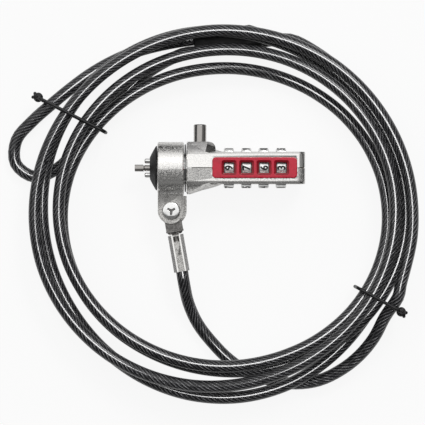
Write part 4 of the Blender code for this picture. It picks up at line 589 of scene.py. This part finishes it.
# %% [markdown]
# ## Second finishes
#
# A casting isn't the same all over: the recess of a screw is duller, and its dark grey is painted
# shade. A face that was never polished is rough, and the floor of the crimp's slot is rough with a
# darker colour that is painted shade. A chamfer is softer than the face beside it. Each rule below
# picks faces of one piece by where they are and which way they look, and gives them another finish.


# %% Second finishes on parts of a piece
def repaint(node, material, chosen):
    """Give another finish to the faces of a finished piece that are chosen by centre and normal."""
    mesh = bpy.data.objects["finished_" + node].data
    mesh.materials.append(material)
    faces = [face for face in mesh.polygons if chosen(face.center, face.normal)]
    for face in faces:
        face.material_index = len(mesh.materials) - 1
    print(node, "faces in", material.name + ":", len(faces))


FLAT = 0.9  # a normal this far up or down belongs to a flat top or bottom
RECESS_RADIUS = 1.7 * MM
screw_low, screw_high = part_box("pivot_screw")
screw_axis = (screw_low + screw_high) / 2
crimp_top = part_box("crimp_sleeve")[1].z
ear_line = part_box("nose_bumper")[0].y + 1.5 * MM
boss_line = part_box("dial_1")[1].y - 1.5 * MM


def in_screw_recess(spot, normal):
    off_axis = math.hypot(spot.x - screw_axis.x, spot.y - screw_axis.y)
    return 0.15 * MM < screw_high.z - spot.z < 1.2 * MM and off_axis < RECESS_RADIUS


def in_crimp_slot(spot, normal):
    return normal.z > FLAT and 0.2 * MM < crimp_top - spot.z < 1.5 * MM


def on_boss_side(spot, normal):
    return spot.y > boss_line and normal.y > 0.25 and spot.x < 0


# the screw's recess and the crimp's slot are painted darker, as shade
repaint("pivot_screw", recess_shade_steel, in_screw_recess)
repaint("swivel_collar", rough_cast_and_slot_shade, lambda spot, normal: spot.y < ear_line and abs(normal.z) > FLAT)
# the floor of the crimp's slot is painted darker, as shade
repaint("crimp_sleeve", rough_cast_and_slot_shade, in_crimp_slot)
repaint("crimp_sleeve", soft_edge, lambda spot, normal: 0.3 < abs(normal.z) < FLAT)
repaint("housing_upper", soft_edge, on_boss_side)

# %% [markdown]
# ## The red window frame
#
# A glossy moulding with soft edges surrounds the four windows, and each window sits in a sloping
# frame with round corners, painted a darker red as shade. Every outline here is a rounded rectangle,
# which is a circle with its four quarters pulled apart. All rings have the same number of points, so
# each point is joined to its partner in the next ring, and the flat top is filled between the outer
# ring and the four holes. bridge_loops would have to guess the partners, and where two rings lie in
# one plane its guess turns with the last digit of a size.

# %% A rounded rectangle
RING_POINTS = 40


def rounded_ring(work, middle, half_length, half_width, corner, z):
    """A ring of points, starting from a circle of the corner's radius."""
    ring = bmesh.ops.create_circle(work, segments=RING_POINTS, radius=corner)["verts"]
    bmesh.ops.rotate(work, matrix=Matrix.Rotation(math.pi / RING_POINTS, 3, "Z"), verts=ring)
    for vert in ring:
        vert.co = (
            middle[0] + vert.co.x + math.copysign(half_length - corner, vert.co.x),
            middle[1] + vert.co.y + math.copysign(half_width - corner, vert.co.y),
            z,
        )
    return ring


def ring_edges(work, ring):
    """The edges between neighbours in a closed ring."""
    return [work.edges.get(pair) for pair in zip(ring, ring[1:] + ring[:1])]


def band(work, near, far):
    """Four-sided faces between two rings, each point joined to its own partner."""
    pairs = list(zip(near, far))
    return [
        work.faces.new([near_one, near_two, far_two, far_one])
        for (near_one, far_one), (near_two, far_two) in zip(pairs, pairs[1:] + pairs[:1])
    ]


# %% Rings, bands and fills
SHOULDER = 0.4 * MM
FRAME_CORNER = 1.3 * MM
TOP_MARGIN = 0.12 * MM
# each window from its rim down: half its side, its corner radius and its depth, in millimetres
WINDOW_STEPS = [
    (2.78, 0.95, 0.0), (2.66, 0.85, 0.0), (2.58, 0.8, 0.06), (2.12, 0.58, 0.38), (1.98, 0.5, 0.42),
    (1.93, 0.46, 0.5),
]
# the darker red of these bands is painted shade
SHADED_RECESS_LEVELS = (1, 2, 3)  # the bands between two of these steps that are painted darker


def window_frame():
    """The bezel: outer rings with rounded shoulders, and four stepped windows."""
    work = bmesh.new()
    low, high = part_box("window_bezel")
    middle = ((low.x + high.x) / 2, (low.y + high.y) / 2)
    half = ((high.x - low.x) / 2, (high.y - low.y) / 2)
    top = high.z
    steps = [(0.0, low.z)]
    for n in range(6):
        turn = math.radians(18 * n)
        steps.append((SHOULDER * (1 - math.cos(turn)), top - SHOULDER * (1 - math.sin(turn))))
    steps.append((SHOULDER + TOP_MARGIN, top))
    outer = [
        rounded_ring(work, middle, half[0] - inset, half[1] - inset, FRAME_CORNER - inset, z)
        for inset, z in steps
    ]
    chains = [outer]
    for dial_node in ("dial_1", "dial_2", "dial_3", "dial_4"):
        dial_low, dial_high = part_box(dial_node)
        spot = ((dial_low.x + dial_high.x) / 2, middle[1])
        window = [
            rounded_ring(work, spot, size * MM, size * MM, corner * MM, top - depth * MM)
            for size, corner, depth in WINDOW_STEPS
        ]
        size, corner, depth = WINDOW_STEPS[-1]
        window.append(rounded_ring(work, spot, size * MM, size * MM, corner * MM, low.z))
        chains.append(window)
    for number, chain in enumerate(chains):
        for level, (near, far) in enumerate(zip(chain, chain[1:])):
            for face in band(work, near, far):
                face.material_index = 1 if number and level in SHADED_RECESS_LEVELS else 0
    tops = [chains[0][-1]] + [chain[0] for chain in chains[1:]]
    bottoms = [chains[0][0]] + [chain[-1] for chain in chains[1:]]
    for rings in (tops, bottoms):
        edges = [edge for ring in rings for edge in ring_edges(work, ring)]
        bmesh.ops.triangle_fill(work, use_beauty=True, edges=edges)
    bmesh.ops.recalc_face_normals(work, faces=work.faces[:])
    mesh = bpy.data.meshes.new("red_window_frame")
    work.to_mesh(mesh)
    print("open edges in the frame:", sum(not edge.is_manifold for edge in work.edges))
    work.free()
    mesh.materials.append(red_moulding)
    mesh.materials.append(red_recess_shade)
    mesh.shade_smooth()
    mesh.set_sharp_from_angle(angle=math.radians(40))
    piece = bpy.data.objects.new("red_window_frame", mesh)
    bpy.context.scene.collection.objects.link(piece)
    return piece


red_frame = window_frame()
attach(red_frame, body_of_node["window_bezel"])
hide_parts("window_bezel")

# %% [markdown]
# ## The numbers
#
# Ten painted digits run round each dial, one on every pad. They lie on their sides, with their
# tops towards the T-bar, so that they read along the lock. Flat type won't lie on a drum, so each
# digit is sliced into narrow strips and every point is wrapped round the drum by its distance
# from the digit's middle. The four dials are set to 9, 7, 6 and 3.

# %% One digit as a thin closed shape
DIGIT_HEIGHT = 2.9 * MM
DIGIT_NARROWING = 0.95
PAINT = 0.05 * MM
STRIP = 0.3 * MM  # the digits are cut this often, so that they can bend
THICKNESS = 0.03  # of the type before it is scaled, at a size of 1


def flat_digit(number):
    """A digit centred on the origin, a little thick, cut into strips. A nine is a six turned over."""
    curve = bpy.data.curves.new("digit", "FONT")
    curve.body = "6" if number == 9 else str(number)
    curve.size = 1.0
    curve.offset = 0.01 if number == 4 else 0.03
    curve.resolution_u = 4
    curve.extrude = THICKNESS
    writing = bpy.data.objects.new("digit", curve)
    bpy.context.scene.collection.objects.link(writing)
    bpy.context.view_layer.update()
    shape = bpy.data.meshes.new_from_object(writing.evaluated_get(bpy.context.evaluated_depsgraph_get()))
    bpy.data.objects.remove(writing)
    work = bmesh.new()
    work.from_mesh(shape)
    bmesh.ops.remove_doubles(work, verts=work.verts[:], dist=0.001)
    lows = [min(vert.co[n] for vert in work.verts) for n in (0, 1)]
    highs = [max(vert.co[n] for vert in work.verts) for n in (0, 1)]
    middle = Vector(((lows[0] + highs[0]) / 2, (lows[1] + highs[1]) / 2, 0))
    bmesh.ops.translate(work, vec=-middle, verts=work.verts[:])
    size = DIGIT_HEIGHT / (highs[1] - lows[1])
    bmesh.ops.scale(work, vec=(size * DIGIT_NARROWING, size, PAINT / THICKNESS), verts=work.verts[:])
    if number == 9:
        bmesh.ops.rotate(work, matrix=Matrix.Rotation(math.pi, 3, "Z"), verts=work.verts[:])
    for n in range(-4, 5):
        everything = work.verts[:] + work.edges[:] + work.faces[:]
        bmesh.ops.bisect_plane(work, geom=everything, plane_co=(n * STRIP, 0, 0), plane_no=(1, 0, 0))
    work.to_mesh(shape)
    work.free()
    return shape


flat_digits = [flat_digit(number) for number in range(10)]
print("digit faces:", [len(shape.polygons) for shape in flat_digits])


# %% Wrap ten digits round a dial
def dial_numbers(dial_node, body, shown):
    """All ten digits of one dial, with the shown one facing up."""
    low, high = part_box(dial_node)
    middle = [(a + b) / 2 for a, b in zip(low, high)]
    radius = (high[2] - low[2]) / 2
    work = bmesh.new()
    for number in range(10):
        before = len(work.verts)
        work.from_mesh(flat_digits[number])
        work.verts.ensure_lookup_table()
        for vert in work.verts[before:]:
            turn = math.radians(36) * (number - shown) + vert.co.x / radius
            reach = radius + vert.co.z
            vert.co = (
                middle[0] - vert.co.y,
                middle[1] + reach * math.sin(turn),
                middle[2] + reach * math.cos(turn),
            )
    bmesh.ops.recalc_face_normals(work, faces=work.faces[:])
    mesh = bpy.data.meshes.new("numbers_" + dial_node)
    work.to_mesh(mesh)
    work.free()
    mesh.materials.append(black_paint)
    piece = bpy.data.objects.new("numbers_" + dial_node, mesh)
    bpy.context.scene.collection.objects.link(piece)
    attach(piece, body)
    return piece


for dial_node, shown in (("dial_1", 9), ("dial_2", 7), ("dial_3", 6), ("dial_4", 3)):
    numbers = dial_numbers(dial_node, body_of_node[dial_node], shown)
    print(numbers.name, len(numbers.data.polygons), "faces")

# %% [markdown]
# ## The cable's ends
#
# The long run leaves the crimp and ends in the ferrule. The eye leaves the ferrule and comes
# back to it.

# %% [markdown]
# ## The table and the light
#
# The lock lies on a plain white table. A broad soft box stands behind it, and the grey of the
# room comes from the front, so that every rounded piece of metal turns from bright to dark. The
# table is even white to the camera and pale grey in mirror images, and it keeps its soft shadow.

# %% Table
WHITE_TO_CAMERA = 0.9
WHITE_IN_MIRRORS = 0.35
floor_work = bmesh.new()
bmesh.ops.create_grid(floor_work, x_segments=1, y_segments=1, size=2.0)
floor_mesh = bpy.data.meshes.new("table")
floor_work.to_mesh(floor_mesh)
floor_work.free()
table = bpy.data.objects.new("table", floor_mesh)
table.location.z = -0.3 * MM
bpy.context.scene.collection.objects.link(table)
paper = bpy.data.materials.new("white_paper")
paper.use_nodes = True
tree = paper.node_tree
shader = tree.nodes["Principled BSDF"]
shader.inputs["Base Color"].default_value = (0.9, 0.9, 0.9, 1)
shader.inputs["Roughness"].default_value = 0.9
shader.inputs["Specular IOR Level"].default_value = 0.1
glow = tree.nodes.new("ShaderNodeEmission")
glow.inputs["Strength"].default_value = 1.0
blend = tree.nodes.new("ShaderNodeMixShader")
path = tree.nodes.new("ShaderNodeLightPath")
mirrored = math_node(tree, "MAXIMUM", path.outputs["Is Glossy Ray"], path.outputs["Is Transmission Ray"])
mirrored = math_node(tree, "MULTIPLY", mirrored, WHITE_IN_MIRRORS)
seen = math_node(tree, "MULTIPLY", path.outputs["Is Camera Ray"], WHITE_TO_CAMERA)
seen = math_node(tree, "MAXIMUM", seen, mirrored)
wire(
    tree,
    (seen, blend.inputs[0]),
    (shader.outputs[0], blend.inputs[1]),
    (glow.outputs[0], blend.inputs[2]),
    (blend.outputs[0], tree.nodes["Material Output"].inputs["Surface"]),
)
floor_mesh.materials.append(paper)

# %% [markdown]
# Polished metal shows the room more than it shows itself, so the room needs a shape. This one is
# white from overhead to the back and dark grey towards the front, a little brighter again low in
# the front and a little darker at the very back. Both far sides and a band just above the horizon
# are dark too. The band is what draws the thin dark lines down the sides of round pins.

# %% A room of soft panels
# a direction's axis, the range over which the light changes, and the light at its two ends
PANELS = {
    "front to back": ("Y", -0.15, -0.03, 0.16, 1.1),
    "far back": ("Y", 0.75, 0.97, 1.0, 0.7),
    "low front": ("Y", -0.98, -0.85, 1.7, 1.0),
    "right side": ("X", 0.35, 0.65, 1.0, 0.22),
    "left side": ("X", -0.95, -0.8, 0.18, 1.0),
    "horizon": ("Z", 0.1, 0.4, 0.2, 1.0),
}
world = bpy.data.worlds.new("studio")
bpy.context.scene.world = world
world.use_nodes = True
tree = world.node_tree
direction = tree.nodes.new("ShaderNodeTexCoord").outputs["Generated"]
parts = tree.nodes.new("ShaderNodeSeparateXYZ")
wire(tree, (direction, parts.inputs[0]))
level = 1.0
for axis, *ranges in PANELS.values():
    level = math_node(tree, "MULTIPLY", remap(tree, parts.outputs[axis], *ranges), level)
wire(tree, (level, tree.nodes["Background"].inputs["Color"]))
print("room panels:", list(PANELS))

# %% A soft box up to the back and right
def area_lamp(name, shape, size, energy, spot):
    """An area lamp at a spot, facing the middle of the table."""
    data = bpy.data.lights.new(name, "AREA")
    data.shape = shape
    data.size = size
    data.energy = energy
    lamp = bpy.data.objects.new(name, data)
    lamp.location = spot
    lamp.rotation_euler = (-lamp.location).to_track_quat("-Z", "Y").to_euler()
    bpy.context.scene.collection.objects.link(lamp)
    return lamp


area_lamp("soft_box", "SQUARE", size=0.3, energy=2.7, spot=(0.3, 0.58, 0.8))

# %% [markdown]
# A second, round lamp hangs just above the camera for the cable alone. A round cable shows a mirror
# image of a lamp only where the lamp stands square to its run, and only a lamp that is nearly
# overhead is square to every run of a coil. That draws the thin bright line along each turn. The
# lamp would burn out the flat metal of the head, so light linking keeps it to the cable.

# %% A round lamp for the cable
round_lamp = area_lamp("round_lamp", "DISK", size=0.4, energy=11.0, spot=(0.06, 0.13, 1.0))
lit_pieces = bpy.data.collections.new("lit_by_round_lamp")
for piece in (cable, eye):
    lit_pieces.objects.link(piece)
round_lamp.light_linking.receiver_collection = lit_pieces

# %% Colour as it is written
bpy.context.scene.view_settings.view_transform = "Standard"
